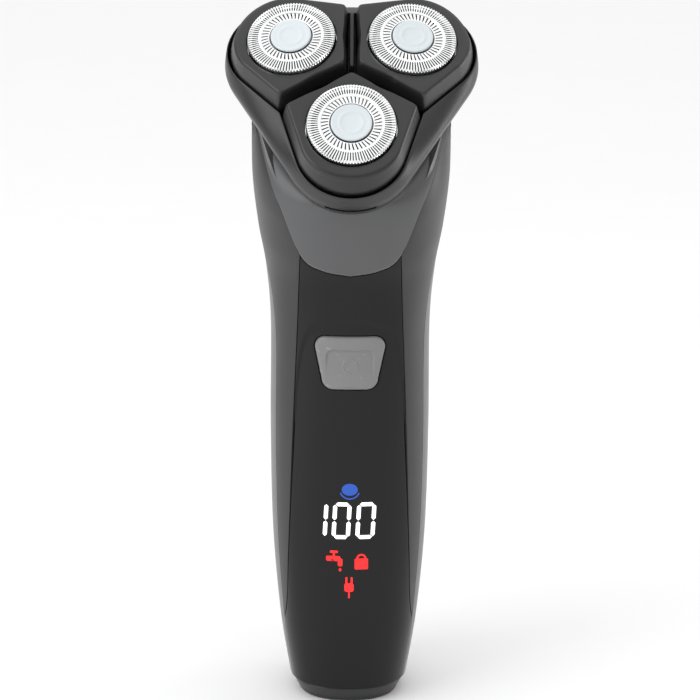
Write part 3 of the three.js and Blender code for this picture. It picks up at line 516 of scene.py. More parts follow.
dark_nylon = shader("dark_nylon", (0.03, 0.03, 0.032), 0.5, grain=0.25, bump=0.2)
white_nylon = shader("white_nylon", (0.74, 0.73, 0.68), 0.45, grain=0.25, bump=0.12)
battery_film = shader("battery_film", (0.05, 0.16, 0.4), 0.28, grain=0.9, bump=0.05)
board_green = shader("board_green", (0.02, 0.12, 0.06), 0.32, grain=0.5, bump=0.12)
soft_rubber = shader("soft_rubber", (0.02, 0.02, 0.021), 0.7, grain=0.3, bump=0.25)
digit_white = glowing("digit_white", (1.0, 1.0, 1.0), 1.3)
icon_red = glowing("icon_red", (1.0, 0.012, 0.012), 1.0)
icon_blue = glowing("icon_blue", (0.012, 0.07, 0.38), 0.9)


def finish_piece(obj, material, body, slot, *nodes):
    obj.data.materials.clear()
    obj.data.materials.append(material)
    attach(obj, body)
    if nodes:
        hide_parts(*nodes)
    return obj


# ------------------------------------------------------------ outer shells of the handle
SEAM = 0.11                     # half the gap at a parting line
RIGHT_ANGLE = math.pi / 2
ROWS = 130


def rear_turn(level, shift):
    """Where the rear seam crosses a level on the right side."""
    def off(turn):
        point = on_handle(turn, level)
        return point.y - rear_seam(point.z) - shift
    return solve(off, -RIGHT_ANGLE, RIGHT_ANGLE)


def panel_turn(level, shift):
    """Where the panel's edge crosses a level on the right side, or the rear seam if that is nearer."""
    def off(turn):
        point = on_handle(turn, level)
        return point.x - panel_edge(point.z) - shift
    return min(solve(off, -RIGHT_ANGLE, 0), rear_turn(level, shift))


def collar_turn(level, shift):
    """Where the collar's lower edge crosses a level on the right side, the front if it doesn't."""
    def off(turn):
        point = on_handle(turn, level)
        return point.z - collar_edge(abs(point.x)) + shift
    if off(-RIGHT_ANGLE) < 0:
        return -RIGHT_ANGLE
    step = 0.05
    turn = -RIGHT_ANGLE
    while turn < 0.9 and off(turn + step) > 0:
        turn += step
    return solve(off, turn, turn + step)


def collar_level(turn, shift):
    """The level of the collar's lower edge in one direction."""
    def under(level):
        point = on_handle(turn, level)
        return min(point.z - collar_edge(abs(point.x)), rear_seam(point.z) - point.y) + shift
    return solve(under, 0.45, 0.998)


def make_rear_shell():
    columns = 90
    low_arch = 0.8
    start = rear_turn(low_arch, SEAM)

    def arch(share):
        turn = lerp(start, math.pi - start, share)
        def off(level):
            point = on_handle(turn, level)
            return point.y - rear_seam(point.z) - SEAM
        if share in (0, 1):
            return turn, low_arch
        return turn, solve(off, low_arch, 0.998)

    grid = []
    for i in range(ROWS + 1):
        share = i / ROWS
        row = []
        for j in range(columns + 1):
            across = 0.5 - 0.5 * math.cos(math.pi * j / columns)
            across = lerp(j / columns, across, 0.6)
            if share <= 0.75:
                level = low_arch * share / 0.75
                edge = rear_turn(level, SEAM)
                turn = lerp(edge, math.pi - edge, across)
            else:
                top_turn, top_level = arch(across)
                turn = top_turn
                level = lerp(low_arch, top_level, (share - 0.75) / 0.25)
            row.append(on_handle(turn, level))
        grid.append(row)
    return shell_from_grid("rear_shell", grid, WALL, 0.22)


def make_trim(side):
    def width(level):
        inner = max(panel_turn(level, SEAM), collar_turn(level, SEAM))
        return rear_turn(level, -SEAM) - inner - 0.012
    first = solve(width, 0.05, 0.4)
    last = 0.6
    while last < 0.995 and width(last + 0.005) > 0:
        last += 0.005
    rows, columns = ROWS, 14
    grid = []
    for i in range(rows + 1):
        level = lerp(first, last, i / rows)
        inner = max(panel_turn(level, SEAM), collar_turn(level, SEAM))
        outer = max(rear_turn(level, -SEAM), inner + 0.008)
        row = []
        for j in range(columns + 1):
            point = on_handle(lerp(inner, outer, j / columns), level)
            point.x *= side
            row.append(point)
        grid.append(row)
    name = "side_trim_right" if side > 0 else "side_trim_left"
    return shell_from_grid(name, grid, WALL * 0.8, 0.16)


def step_depth(x, z):
    """The panel drops by a shallow arched step above the button."""
    arch = 99.0 - 1.7 * (abs(x) / 9) ** 2.2 - 2.4 * (abs(x) / 10.6) ** 10
    below = 1 - smoothstep(z, arch - 1.9, arch)
    fade = smoothstep(z, 30, 78)
    return 0.42 * below * fade


def make_panel():
    columns = 80
    def place(share, level):
        edge = panel_turn(level, -SEAM)
        return lerp(-math.pi - edge, edge, share)

    def top_level(share):
        def under(level):
            point = on_handle(place(share, level), level)
            return point.z - collar_edge(abs(point.x)) + SEAM
        return solve(under, 0.4, 0.9)

    tops = [top_level(j / columns) for j in range(columns + 1)]
    grid = []
    rows = ROWS + 30
    for i in range(rows + 1):
        row = []
        for j in range(columns + 1):
            level = tops[j] * i / rows
            turn = place(j / columns, level)
            point = on_handle(turn, level)
            row.append(on_handle(turn, level, step_depth(point.x, point.z)))
        grid.append(row)
    panel = shell_from_grid("front_panel", grid, WALL * 0.8, 0.16)
    return cut(panel, button_prism("hole", SLACK * 0.75, -30, 0), thorough=True)


def make_collar():
    columns = 160
    rows = 40
    grid = []
    lows = [collar_level(-RIGHT_ANGLE + 2 * math.pi * j / columns, -SEAM) for j in range(columns)]
    for i in range(rows + 1):
        row = []
        for j in range(columns):
            turn = -RIGHT_ANGLE + 2 * math.pi * j / columns
            level = lerp(lows[j], 1.0, i / rows)
            row.append(on_handle(turn, level, -collar_rise(i / rows)))
        grid.append(row)
    return shell_from_grid("neck_collar", grid, WALL, 0.2, closed=True)


def collar_rise(share):
    """The collar stands a little proud of the shells below it, with a narrow bevel at its edge."""
    return 0.3 * smoothstep(share, 0.0, 0.045)


def button_outline(grow, steps=10):
    corner = BUTTON_CORNER + grow
    low, top, half = BUTTON_LOW + grow, BUTTON_TOP + grow, BUTTON_HALF + grow
    corners = [(-low, -half), (low, -half), (top, half), (-top, half)]
    points = []
    for i, (x, z) in enumerate(corners):
        cx, cz = x - math.copysign(corner, x), z - math.copysign(corner, z)
        for k in range(steps + 1):
            angle = math.pi + (i + k / steps) * RIGHT_ANGLE
            points.append((cx + corner * math.cos(angle), BUTTON_Z + cz + corner * math.sin(angle)))
    return points


def button_prism(name, grow, y0, y1):
    outline = button_outline(grow)
    count = len(outline)
    verts = [(x, y0, z) for x, z in outline] + [(x, y1, z) for x, z in outline]
    faces = [(j, (j + 1) % count, count + (j + 1) % count, count + j) for j in range(count)]
    faces += [tuple(range(count))[::-1], tuple(range(count, 2 * count))]
    return mesh_object(name, verts, faces, smooth=False)


def front_y(x, z):
    """y of the handle's front surface at x and z, below the neck's lean."""
    def off(level):
        turn = front_turn(x, level)
        return on_handle(turn, level).z - z
    level = solve(off, 0.0, 0.75)
    return on_handle(front_turn(x, level), level).y


def front_turn(x, level):
    return solve(lambda turn: on_handle(turn, level).x - x, -math.pi, 0)


finish_piece(make_rear_shell(), satin_grey, "handle", "satin_grey", "rear_shell")
finish_piece(make_trim(1), trim_grey, "handle", "trim_grey", "side_trim_right")
finish_piece(make_trim(-1), trim_grey, "handle", "trim_grey", "side_trim_left")
finish_piece(make_panel(), piano_black, "handle", "piano_black", "front_panel")
finish_piece(make_collar(), collar_grey, "handle", "collar_grey", "neck_collar")


# ------------------------------------------------------------ sweeps
def swept(name, loops, frame_matrix, degrees=32):
    """A closed skin through closed loops: loops[i][j] is place j on loop i, and the last loop meets the
    first. Every loop has the same number of places."""
    rows, columns = len(loops), len(loops[0])
    verts = [frame_matrix @ Vector(point) for loop in loops for point in loop]
    faces = []
    for i in range(rows):
        for j in range(columns):
            n, k = (i + 1) % rows, (j + 1) % columns
            faces.append((i * columns + j, i * columns + k, n * columns + k, n * columns + j))
    return sharp_by_angle(mesh_object(name, verts, faces), degrees)


def turned(name, profile, frame_matrix, columns=96, degrees=32):
    """A closed profile of (radius, height) points turned about the frame's Z. Radius 0 is left open."""
    verts, faces = [], []
    for radius, height in profile:
        for j in range(columns):
            angle = 2 * math.pi * j / columns
            verts.append(frame_matrix @ Vector((radius * math.cos(angle), radius * math.sin(angle), height)))
    count = len(profile)
    for i in range(count):
        n = (i + 1) % count
        if profile[i][0] < 1e-6 and profile[n][0] < 1e-6:
            continue
        for j in range(columns):
            k = (j + 1) % columns
            faces.append((i * columns + j, i * columns + k, n * columns + k, n * columns + j))
    obj = mesh_object(name, verts, faces)
    work = bmesh.new()
    work.from_mesh(obj.data)
    bmesh.ops.dissolve_degenerate(work, dist=1e-7, edges=work.edges)
    bmesh.ops.recalc_face_normals(work, faces=work.faces)
    work.to_mesh(obj.data)
    work.free()
    return sharp_by_angle(obj, degrees)


def block(name, low, high, frame_matrix, bevel=0.2):
    """A box with rounded edges."""
    (x0, y0, z0), (x1, y1, z1) = low, high
    corners = [(x, y, z) for z in (z0, z1) for x, y in ((x0, y0), (x1, y0), (x1, y1), (x0, y1))]
    faces = [(3, 2, 1, 0), (4, 5, 6, 7)] + [(j, (j + 1) % 4, 4 + (j + 1) % 4, 4 + j) for j in range(4)]
    obj = mesh_object(name, [frame_matrix @ Vector(c) for c in corners], faces, smooth=False)
    add_bevel(obj, bevel)
    apply_modifiers(obj)
    return sharp_by_angle(obj)


# ------------------------------------------------------------ head skirt and frame
POD_SLOPE = math.radians(30)
CORNER = Vector((POD_CORNER_X, POD_APEX - POD_CORNER_X * math.tan(POD_SLOPE)))
FROM_ARC = CORNER + Vector((0, POD_SHIFT))
POD_TOUCH = math.atan2(FROM_ARC.y, FROM_ARC.x) - math.acos(POD_RADIUS / FROM_ARC.length)
POD_SIDE = POD_RADIUS - POD_SHIFT * math.sin(POD_TOUCH)
POD_ROUND = RIGHT_ANGLE + math.atan2(POD_RADIUS * math.sin(POD_TOUCH) - POD_SHIFT,
                                     POD_RADIUS * math.cos(POD_TOUCH))


def pods_reach(angle, step):
    """From the head's axis to the outline of the three pods, grown by step."""
    off = off_lobe(angle)
    radius = POD_RADIUS + step
    out = CUTTER_RADIUS + POD_SHIFT
    lateral = radius * math.cos(POD_TOUCH)
    if off < math.atan2(lateral, out - radius * math.sin(POD_TOUCH)):
        return circle_reach(off, out, radius)
    return ((POD_SIDE + step - CUTTER_RADIUS * math.sin(POD_TOUCH))
            / (math.sin(off) * math.cos(POD_TOUCH) - math.cos(off) * math.sin(POD_TOUCH)))


def rim_depth(angle):
    """From the face down to the skirt's rim, level with the pods' leaning edges."""
    outward = pods_reach(angle, RIM_WALL) * math.cos(off_lobe(angle)) - CUTTER_RADIUS
    return POD_EDGE / math.cos(LEAN) + outward * math.tan(LEAN)


def skirt_outside(angle, share):
    """Radius and height of the skirt's outside: share 0 at its lower edge, 1 at the rim."""
    flare = smoothstep(share, -0.15, 0.7)
    draw = max(0.0, (share - 0.6) / 0.4) ** 2
    low = lerp(foot_reach(angle), hull_reach(angle, LOBE_RADIUS), flare)
    reach = lerp(low, pods_reach(angle, RIM_EDGE), draw)
    return reach + 0.5 * math.sin(math.pi * share), lerp(GAP - NECK_DEPTH, -rim_depth(angle), share)


def neck_top(angle, inset):
    return min(neck_reach(angle), foot_reach(angle) - NECK_TUCK) - inset


def skirt_profile(angle):
    """The wall of the skirt and its floor in one direction, as a closed loop of (radius, height)."""
    low = GAP - NECK_DEPTH
    floor_inner = neck_top(angle, WALL + 0.9)
    points = [(floor_inner, low)]
    foot, turn_in = foot_reach(angle), 1.1
    points.append((lerp(floor_inner, foot - turn_in, 0.7), low))
    for k in range(5):
        bend = RIGHT_ANGLE * k / 4
        outer = skirt_outside(angle, 0.075 * (1 - math.cos(bend)))
        points.append((outer[0] - turn_in * (1 - math.sin(bend)), outer[1]))
    rows = 22
    points += [skirt_outside(angle, lerp(0.1, 0.975, k / rows)) for k in range(rows + 1)]
    rim = skirt_outside(angle, 1.0)
    points.append((rim[0] - 0.05, rim[1] - 0.06))
    points.append((rim[0] - 0.2, rim[1]))
    pocket = pods_reach(angle, 0.2)
    points.append((pocket + 0.06, rim[1]))
    points.append((pocket, rim[1] - 0.1))
    ledge = -POD_HEIGHT - 3.2
    points.append((pocket, ledge))
    for share in (0.45, 0.3, 0.15):
        outer = skirt_outside(angle, share)
        points.append((min(outer[0] - SKIRT_WALL, pocket - 0.05), outer[1]))
    points.append((skirt_outside(angle, 0.1)[0] - SKIRT_WALL, low + FLOOR_THICKNESS))
    points.append((floor_inner, low + FLOOR_THICKNESS))
    return points


def make_skirt():
    columns = 360
    loops = []
    for j in range(columns):
        angle = 2 * math.pi * j / columns
        across = Vector((math.cos(angle), math.sin(angle), 0))
        loops.append([across * radius + Vector((0, 0, height)) for radius, height in skirt_profile(angle)])
    skirt = swept("head_skirt", loops, HEAD_FRAME)
    slot = block("slot", (-5.9, -60, SLOT_LOW), (5.9, -NECK_FRONT - 0.4, SLOT_HIGH), HEAD_FRAME, 0.45)
    cut(skirt, slot, thorough=True)
    sharp_by_angle(skirt, 32)
    parts = [skirt]
    for side in (-1, 1):
        x0 = KNUCKLE_HALF + GAP if side > 0 else -KNUCKLE_HALF - GAP - SIDE_KNUCKLE
        x1 = x0 + SIDE_KNUCKLE
        near = (x0, NECK_BACK + 0.3, -HINGE_DEPTH + 0.4)
        parts.append(block("lug", near, (x1, HINGE_OUT + 1, -HINGE_DEPTH + 7),
                           HEAD_FRAME, 0.5))
        parts.append(barrel("knuckle", KNUCKLE_RADIUS, x0, x1))
    return join("head_skirt", parts)


def barrel(name, radius, x0, x1, edge=0.25):
    """A rounded cylinder about the hinge's axis."""
    frame_matrix = (HEAD_FRAME @ Matrix.Translation(Vector((0, HINGE_OUT, -HINGE_DEPTH)))
                    @ Matrix.Rotation(RIGHT_ANGLE, 4, "Y"))
    inner = radius - edge
    profile = [(0, x0), (inner, x0), (radius, x0 + edge), (radius, x1 - edge), (inner, x1), (0, x1)]
    return turned(name, profile, frame_matrix, 48)


def make_head_frame():
    """The ribs between the pods, and the plate that carries them."""
    parts = []
    for degrees in (-30, 90, 210):
        spin = HEAD_FRAME @ Matrix.Rotation(math.radians(degrees), 4, "Z")
        top = RIB_TOP if degrees == 90 else SIDE_RIB_TOP
        parts.append(block("rib", (1.2, -RIB_WIDTH / 2, -FRAME_TOP - 0.5), (RIB_LENGTH, RIB_WIDTH / 2, top),
                           spin, 0.32))
    parts.append(turned("hub", [(0, -FRAME_TOP - 0.8), (2.2, -FRAME_TOP - 0.8), (2.2, -FRAME_TOP + 1.3),
                                (2.0, -FRAME_TOP + 1.5), (0, -FRAME_TOP + 1.5)], HEAD_FRAME, 32))
    columns = 120
    low = -FRAME_TOP - FRAME_THICKNESS
    outline = []
    for j in range(columns):
        angle = 2 * math.pi * j / columns
        share = (low + NECK_DEPTH - GAP) / (NECK_DEPTH - GAP - rim_depth(angle))
        reach = skirt_outside(angle, share)[0] - SKIRT_WALL - GAP - 0.1
        outline.append((reach * math.cos(angle), reach * math.sin(angle)))
    verts = [HEAD_FRAME @ Vector((x, y, z)) for z in (low, -FRAME_TOP) for x, y in outline]
    faces = [(j, (j + 1) % columns, columns + (j + 1) % columns, columns + j) for j in range(columns)]
    faces += [tuple(range(columns))[::-1], tuple(range(columns, 2 * columns))]
    plate = mesh_object("plate", verts, faces, smooth=False)
    for degrees in LOBES.values():
        angle = math.radians(degrees)
        spot = HEAD_FRAME @ Matrix.Translation(Vector((math.cos(angle), math.sin(angle), 0)) * CUTTER_RADIUS)
        radius = CHAMBER_RADIUS - 0.1
        cut(plate, turned("hole", [(0, low - 1), (radius, low - 1), (radius, 1 - FRAME_TOP),
                                   (0, 1 - FRAME_TOP)], spot, 72))
    parts.append(sharp_by_angle(plate, 32))
    return join("head_frame", parts)


# ------------------------------------------------------------ pods, guards and caps
def pod_frame(place):
    """A pod's own frame about its cutter's axis, with +Y towards the head's middle."""
    return (HEAD_FRAME @ Matrix.Rotation(math.radians(LOBES[place] + 90), 4, "Z")
            @ Matrix.Translation(Vector((0, -CUTTER_RADIUS, 0))) @ Matrix.Rotation(LEAN, 4, "X"))


def pod_reach(angle, inset, arm_step, sharpness=44):
    """From the cutter's axis to the pod's outline: a circle, and two sides that meet at the inner corner."""
    from_front = abs((angle + RIGHT_ANGLE + math.pi) % (2 * math.pi) - math.pi)
    bevel = lerp(1, SIDE_BEVEL, smoothstep(from_front, 0, POD_ROUND))
    step = inset * bevel
    if from_front <= POD_ROUND - 0.02:
        ahead = -POD_SHIFT * math.sin(angle)
        return ahead + math.sqrt(ahead * ahead - POD_SHIFT ** 2 + POD_RADIUS ** 2) - step
    arm = POD_APEX * math.cos(POD_SLOPE) - ARM_INSET - arm_step
    arm_normal = RIGHT_ANGLE - POD_SLOPE
    total = 0.0
    for normal, distance in ((arm_normal, arm), (math.pi - arm_normal, arm),
                             (POD_TOUCH, POD_SIDE - step), (math.pi - POD_TOUCH, POD_SIDE - step)):
        total += max(0.0, math.cos(angle - normal) / distance) ** sharpness
    return total ** (-1 / sharpness)


def pod_profile(angle):
    """The pod's wall in one direction: (radius, height) from its mouth over the face and down the flank."""
    hollow = 0.3 * math.exp(-((math.degrees(abs(angle - RIGHT_ANGLE)) - 32) / 13) ** 2)

    def edge(height, inset, arm_step):
        return pod_reach(angle, inset, arm_step + hollow), height
    mouth = GUARD_RADIUS + GAP
    points = [(mouth, -POD_PLATE), (mouth, -0.25), (mouth + 0.08, -0.08), (mouth + 0.25, 0)]
    face_inset, bevel_inset = 2.4, 1.5
    rim, rim_height = edge(0, face_inset + 0.35, 0.6)
    points += [(lerp(mouth + 0.25, rim, share), 0) for share in (0.35, 0.7)]
    points.append((rim, rim_height))
    for k in range(1, 6):
        t = k / 6
        inset = lerp(face_inset + 0.35, bevel_inset - 0.12, 1 - (1 - t) ** 1.6)
        points.append(edge(-1.15 * t ** 1.7, inset, lerp(0.6, 0.14, t)))
    for k in range(7):
        t = k / 6
        points.append(edge(lerp(-1.15, -POD_EDGE, t), (bevel_inset - 0.12) * (1 - t) ** 1.25,
                           lerp(0.14, 0.03, t)))
    points.append(edge(-POD_EDGE - 0.12, 0.06, 0.06))
    points.append(edge(-POD_HEIGHT, 0.1, 0.1))
    chamber = CHAMBER_RADIUS
    points += [(chamber, -POD_HEIGHT), (chamber, -POD_PLATE)]
    return points


def make_pod(place):
    columns = 300
    loops = []
    for j in range(columns):
        angle = 2 * math.pi * j / columns
        across = Vector((math.cos(angle), math.sin(angle), 0))
        loops.append([across * radius + Vector((0, 0, height)) for radius, height in pod_profile(angle)])
    return swept(f"pod_{place}", loops, pod_frame(place), 28)


OUTER_SLOTS = 90
INNER_SLOTS = 45


def make_guard(place):
    """A chromed guard: two slotted tracks with a groove between them, over a plain wall and flange."""
    columns = 360
    profile = [(4.92, 0.8, 0), (4.94, 1.04, 0), (5.05, 1.1, 0), (5.15, 1.1, 1), (5.7, 1.1, 1), (6.25, 1.1, 1),
               (6.75, 1.1, 0), (6.86, 1.19, 0), (6.98, 1.2, 0), (7.06, 1.08, 0), (7.2, 1.08, 0),
               (7.28, 1.2, 0), (7.46, 1.2, 2), (8.2, 1.2, 2), (9.0, 1.2, 2), (9.55, 1.18, 2), (9.8, 1.08, 2),
               (9.94, 0.9, 2), (9.98, 0.55, 0), (9.98, 0.2, 0)]
    frame_matrix = pod_frame(place)
    verts, faces = [], []
    for radius, height, _ in profile:
        for j in range(columns):
            slant = 0.05 * (radius - 5.9) / 1.6 if radius < 6.8 else 0.0
            angle = 2 * math.pi * j / columns + slant
            verts.append(frame_matrix @ Vector((radius * math.cos(angle), radius * math.sin(angle), height)))
    for i in range(len(profile) - 1):
        kind = profile[i][2]
        for j in range(columns):
            if kind == 1 and j % (columns // INNER_SLOTS) < 3:
                continue
            if kind == 2 and j % (columns // OUTER_SLOTS) < 2:
                continue
            k = (j + 1) % columns
            faces.append((i * columns + j, i * columns + k, (i + 1) * columns + k, (i + 1) * columns + j))
    top = mesh_object("foil", verts, faces)
    mesh = top.data
    axis = frame_matrix.to_3x3() @ Vector((0, 0, 1))
    if sum(p.area * p.normal.dot(axis) for p in mesh.polygons) < 0:
        mesh.flip_normals()
    solid = top.modifiers.new("foil", "SOLIDIFY")
    solid.thickness = 0.3 * MM
    solid.offset = -1
    apply_modifiers(top)
    sharp_by_angle(top, 30)
    edge = GUARD_RADIUS
    flange_top = -GUARD_DROP + 0.8
    profile = [(edge - 0.5, 0.3), (edge - 0.05, 0.3), (edge, 0.2), (edge, flange_top + 0.15),
               (edge + 0.1, flange_top), (edge + 1.2, flange_top), (edge + 1.3, flange_top - 0.1),
               (edge + 1.3, -GUARD_DROP), (edge - 1, -GUARD_DROP), (edge - 1, 0.3)]
    wall = turned("guard_wall", profile, frame_matrix, 144)
    return join(f"guard_{place}", [top, wall])


def make_cap(place):
    """The pale disc in the middle of a guard: a shallow dish with one raised ring."""
    low = GUARD_TOP - GUARD_PLATE / 2 + GAP
    top = low + 0.5
    profile = [(0, low - 0.3), (1.2, low - 0.3), (1.2, low), (CAP_RADIUS, low), (CAP_RADIUS, low + 0.28)]
    profile += [(CAP_RADIUS - 0.22 * (1 - math.cos(a)), low + 0.28 + 0.22 * math.sin(a))
                for a in (0.4, 0.8, 1.2, RIGHT_ANGLE)]
    profile += [(4.0, top - 0.015), (3.5, top - 0.08), (3.1, top - 0.13), (2.9, top - 0.06),
                (2.7, top - 0.02), (2.5, top - 0.06), (2.3, top - 0.15), (1.5, top - 0.19),
                (0.7, top - 0.2), (0, top - 0.2)]
    return turned(f"guard_cap_{place}", profile, pod_frame(place), 96, 50)


# ------------------------------------------------------------ button, display, base and port
PROUD = 0.5
RING_CENTRE = (0.1, 87.3)


def recess_depth(x, z):
    """The button's face is let in below its top edge, deepest there and fading out towards the bottom."""
    half = 5.6
    corner = 1.6
    across = max(0.0, abs(x) - (half - corner))
    rise = max(0.0, z - (91.3 - corner))
    away = math.hypot(across, rise)
    inside = 1 - smoothstep(away, corner - 0.35, corner + 0.1)
    ramp = smoothstep(z, 84.6, 90.5)
    return 0.42 * inside * ramp


def ring_mark(x, z):
    """A thin raised circle on the button's face."""
    away = abs(math.hypot(x - RING_CENTRE[0], z - RING_CENTRE[1]) - 1.7)
    return 0.12 * max(0.0, 1 - (away / 0.24) ** 2)


def stack_faces(rings, count):
    """Faces of a closed solid through rings of count points each, with both ends capped."""
    faces = []
    for i in range(rings - 1):
        for j in range(count):
            k = (j + 1) % count
            faces.append((i * count + j, i * count + k, (i + 1) * count + k, (i + 1) * count + j))
    last = (rings - 1) * count
    faces.append(tuple(range(last, last + count)))
    faces.append(tuple(range(count))[::-1])
    return faces


def evenly(outline, count):
    """The same closed outline with its points at equal distances."""
    ends = outline[1:] + outline[:1]
    lengths = [math.dist(a, b) for a, b in zip(outline, ends)]
    total = sum(lengths)
    points = []
    i, start = 0, 0.0
    for k in range(count):
        place = total * k / count
        while start + lengths[i] < place:
            start += lengths[i]
            i += 1
        share = (place - start) / lengths[i]
        points.append((lerp(outline[i][0], ends[i][0], share), lerp(outline[i][1], ends[i][1], share)))
    return points


def make_button():
    outline = evenly(button_outline(-0.02, 18), 168)
    count = len(outline)
    rings = 72
    loops = []
    edge = 0.7

    def level_y(x, z):
        return front_cache(x, z) - PROUD

    for depth in (4.4, 2.0, 1.0):
        loops.append([(x, level_y(x, z) + depth, z) for x, z in outline])
    for k in range(6):
        bend = RIGHT_ANGLE * k / 5
        shift, drop = edge * (1 - math.cos(bend)), edge * (1 - math.sin(bend))
        loop = []
        for x, z in outline:
            inner = shift / math.hypot(x, z - BUTTON_Z)
            px, pz = x * (1 - inner), BUTTON_Z + (z - BUTTON_Z) * (1 - inner)
            loop.append((px, level_y(px, pz) + drop, pz))
        loops.append(loop)
    start = 1 - edge / 7.2
    for k in range(1, rings):
        scale = start * (1 - k / rings)
        loop = []
        for x, z in outline:
            away = math.hypot(x, z - BUTTON_Z)
            even = lerp(6.6 / away, 1, smoothstep(scale, 0.25, 0.75)) * scale
            px = x * even + RING_CENTRE[0] * (1 - scale)
            pz = BUTTON_Z + (z - BUTTON_Z) * even + (RING_CENTRE[1] - BUTTON_Z) * (1 - scale)
            loop.append((px, level_y(px, pz) + recess_depth(px, pz) - ring_mark(px, pz), pz))
        loops.append(loop)
    verts = [point for loop in loops for point in loop]
    return sharp_by_angle(mesh_object("power_button", verts, stack_faces(len(loops), count)), 40)


_front = {}


def front_cache(x, z):
    """front_y by bilinear steps of 1 mm, which is close enough for the button and the display."""
    def at(i, k):
        if (i, k) not in _front:
            _front[i, k] = front_y(float(i), float(k))
        return _front[i, k]
    i, k = math.floor(x), math.floor(z)
    u, v = x - i, z - k
    return lerp(lerp(at(i, k), at(i + 1, k), u), lerp(at(i, k + 1), at(i + 1, k + 1), u), v)


def inlay(name, shapes, material):
    """Flat shapes, each an outline of (x, z), laid just over the panel's face."""
    verts, faces = [], []
    for shape in shapes:
        first = len(verts)
        for x, z in shape:
            verts.append((x, front_cache(x, z) + step_depth(x, z) - 0.05, z))
        count = len(shape)
        for x, z in shape:
            verts.append((x, front_cache(x, z) + step_depth(x, z) + 0.25, z))
        faces.append(tuple(range(first, first + count)))
        faces.append(tuple(range(first + count, first + 2 * count))[::-1])
        for j in range(count):
            k = (j + 1) % count
            faces.append((first + j, first + count + j, first + count + k, first + k))
    obj = mesh_object(name, verts, faces, smooth=False)
    return finish_piece(obj, material, "handle", "display_light")


def segment(x0, z0, x1, z1, width):
    """One bar of a digit, with pointed ends, from one corner of the digit to another."""
    along_bar = Vector((x1 - x0, z1 - z0))
    length = along_bar.length
    along_bar.normalize()
    side = Vector((-along_bar.y, along_bar.x)) * (width / 2)
    tip, shoulder = 0.14, 0.14 + width / 2
    start, end = Vector((x0, z0)), Vector((x1, z1))
    points = [start + along_bar * tip, start + along_bar * shoulder - side,
              end - along_bar * shoulder - side, end - along_bar * tip,
              end - along_bar * shoulder + side, start + along_bar * shoulder + side]
    return [(p.x, p.y) for p in points] if length > 2 * shoulder else []


def digit(middle, low, high, half, bars, width=0.95):
    """A seven-bar digit that leans a little. bars name the ones that are lit."""
    lean = 0.05

    def corner(side, height):
        z = lerp(low, high, height)
        return middle + side * half + lean * (z - (low + high) / 2), z
    places = {"top": ((-1, 1), (1, 1)), "mid": ((-1, 0.5), (1, 0.5)), "low": ((-1, 0), (1, 0)),
              "left_up": ((-1, 0.5), (-1, 1)), "left_low": ((-1, 0), (-1, 0.5)),
              "right_up": ((1, 0.5), (1, 1)), "right_low": ((1, 0), (1, 0.5))}
    return [segment(*corner(*places[bar][0]), *corner(*places[bar][1]), width) for bar in bars]


def rounded_box(x0, x1, z0, z1, corner, steps=6):
    points = []
    for i, (x, z) in enumerate(((x1, z1), (x0, z1), (x0, z0), (x1, z0))):
        cx, cz = x + (corner if x == x0 else -corner), z + (corner if z == z0 else -corner)
        for k in range(steps + 1):
            angle = (i + k / steps) * RIGHT_ANGLE
            points.append((cx + corner * math.cos(angle), cz + corner * math.sin(angle)))
    return points


def ellipse(x, z, half, high, start=0.0, end=360.0, steps=28):
    return [(x + half * math.cos(math.radians(lerp(start, end, k / steps))),
             z + high * math.sin(math.radians(lerp(start, end, k / steps)))) for k in range(steps)]


def band(x, z, inner, outer, start, end, steps=20):
    """A bent bar: part of a ring, angles in degrees."""
    outside = [(x + outer * math.cos(math.radians(lerp(start, end, k / steps))),
                z + outer * math.sin(math.radians(lerp(start, end, k / steps)))) for k in range(steps + 1)]
    inside = [(x + inner * math.cos(math.radians(lerp(end, start, k / steps))),
               z + inner * math.sin(math.radians(lerp(end, start, k / steps)))) for k in range(steps + 1)]
    return outside + inside


DIGIT_BARS = {
    "1": ("right_up", "right_low"),
    "0": ("top", "low", "left_up", "left_low", "right_up", "right_low"),
}


def make_display():
    """Lit digits and symbols behind the panel: a charge figure, a mark, a tap, a padlock and a plug."""
    low, high = 44.7, 53.0
    bars = digit(-7.45, low, high, 1.9, DIGIT_BARS["1"])
    bars += digit(-1.75, low, high, 1.7, DIGIT_BARS["0"])
    bars += digit(4.0, low, high, 1.8, DIGIT_BARS["0"])
    inlay("digits", bars, digit_white)
    inlay("status_mark", [ellipse(0.15, 56.7, 1.9, 1.5), band(0.15, 56.7, 2.15, 2.5, 200, 340)], icon_blue)
    tap = [rounded_box(-4.5, -2.6, 40.6, 41.2, 0.25), rounded_box(-3.8, -3.3, 39.6, 40.8, 0.2),
           rounded_box(-5.4, -2.0, 38.5, 39.8, 0.4), rounded_box(-2.6, -1.5, 37.2, 39.2, 0.4),
           ellipse(-2.05, 36.3, 0.32, 0.42)]
    lock = [rounded_box(1.4, 4.6, 36.4, 39.2, 0.35), band(3.0, 39.2, 0.75, 1.2, 0, 180)]
    plug = [rounded_box(-1.0, 1.2, 30.6, 32.8, 0.5), rounded_box(-0.75, -0.3, 32.6, 34.4, 0.2),
            rounded_box(0.5, 0.95, 32.6, 34.4, 0.2), rounded_box(-0.1, 0.3, 28.9, 30.8, 0.15)]
    inlay("warning_symbols", tap + lock + plug, icon_red)


def cap_point(turn, inset, height):
    """A point of the handle's lowest outline, drawn in, at another height."""
    point = on_handle(turn, 0, inset)
    point.z = height
    return point


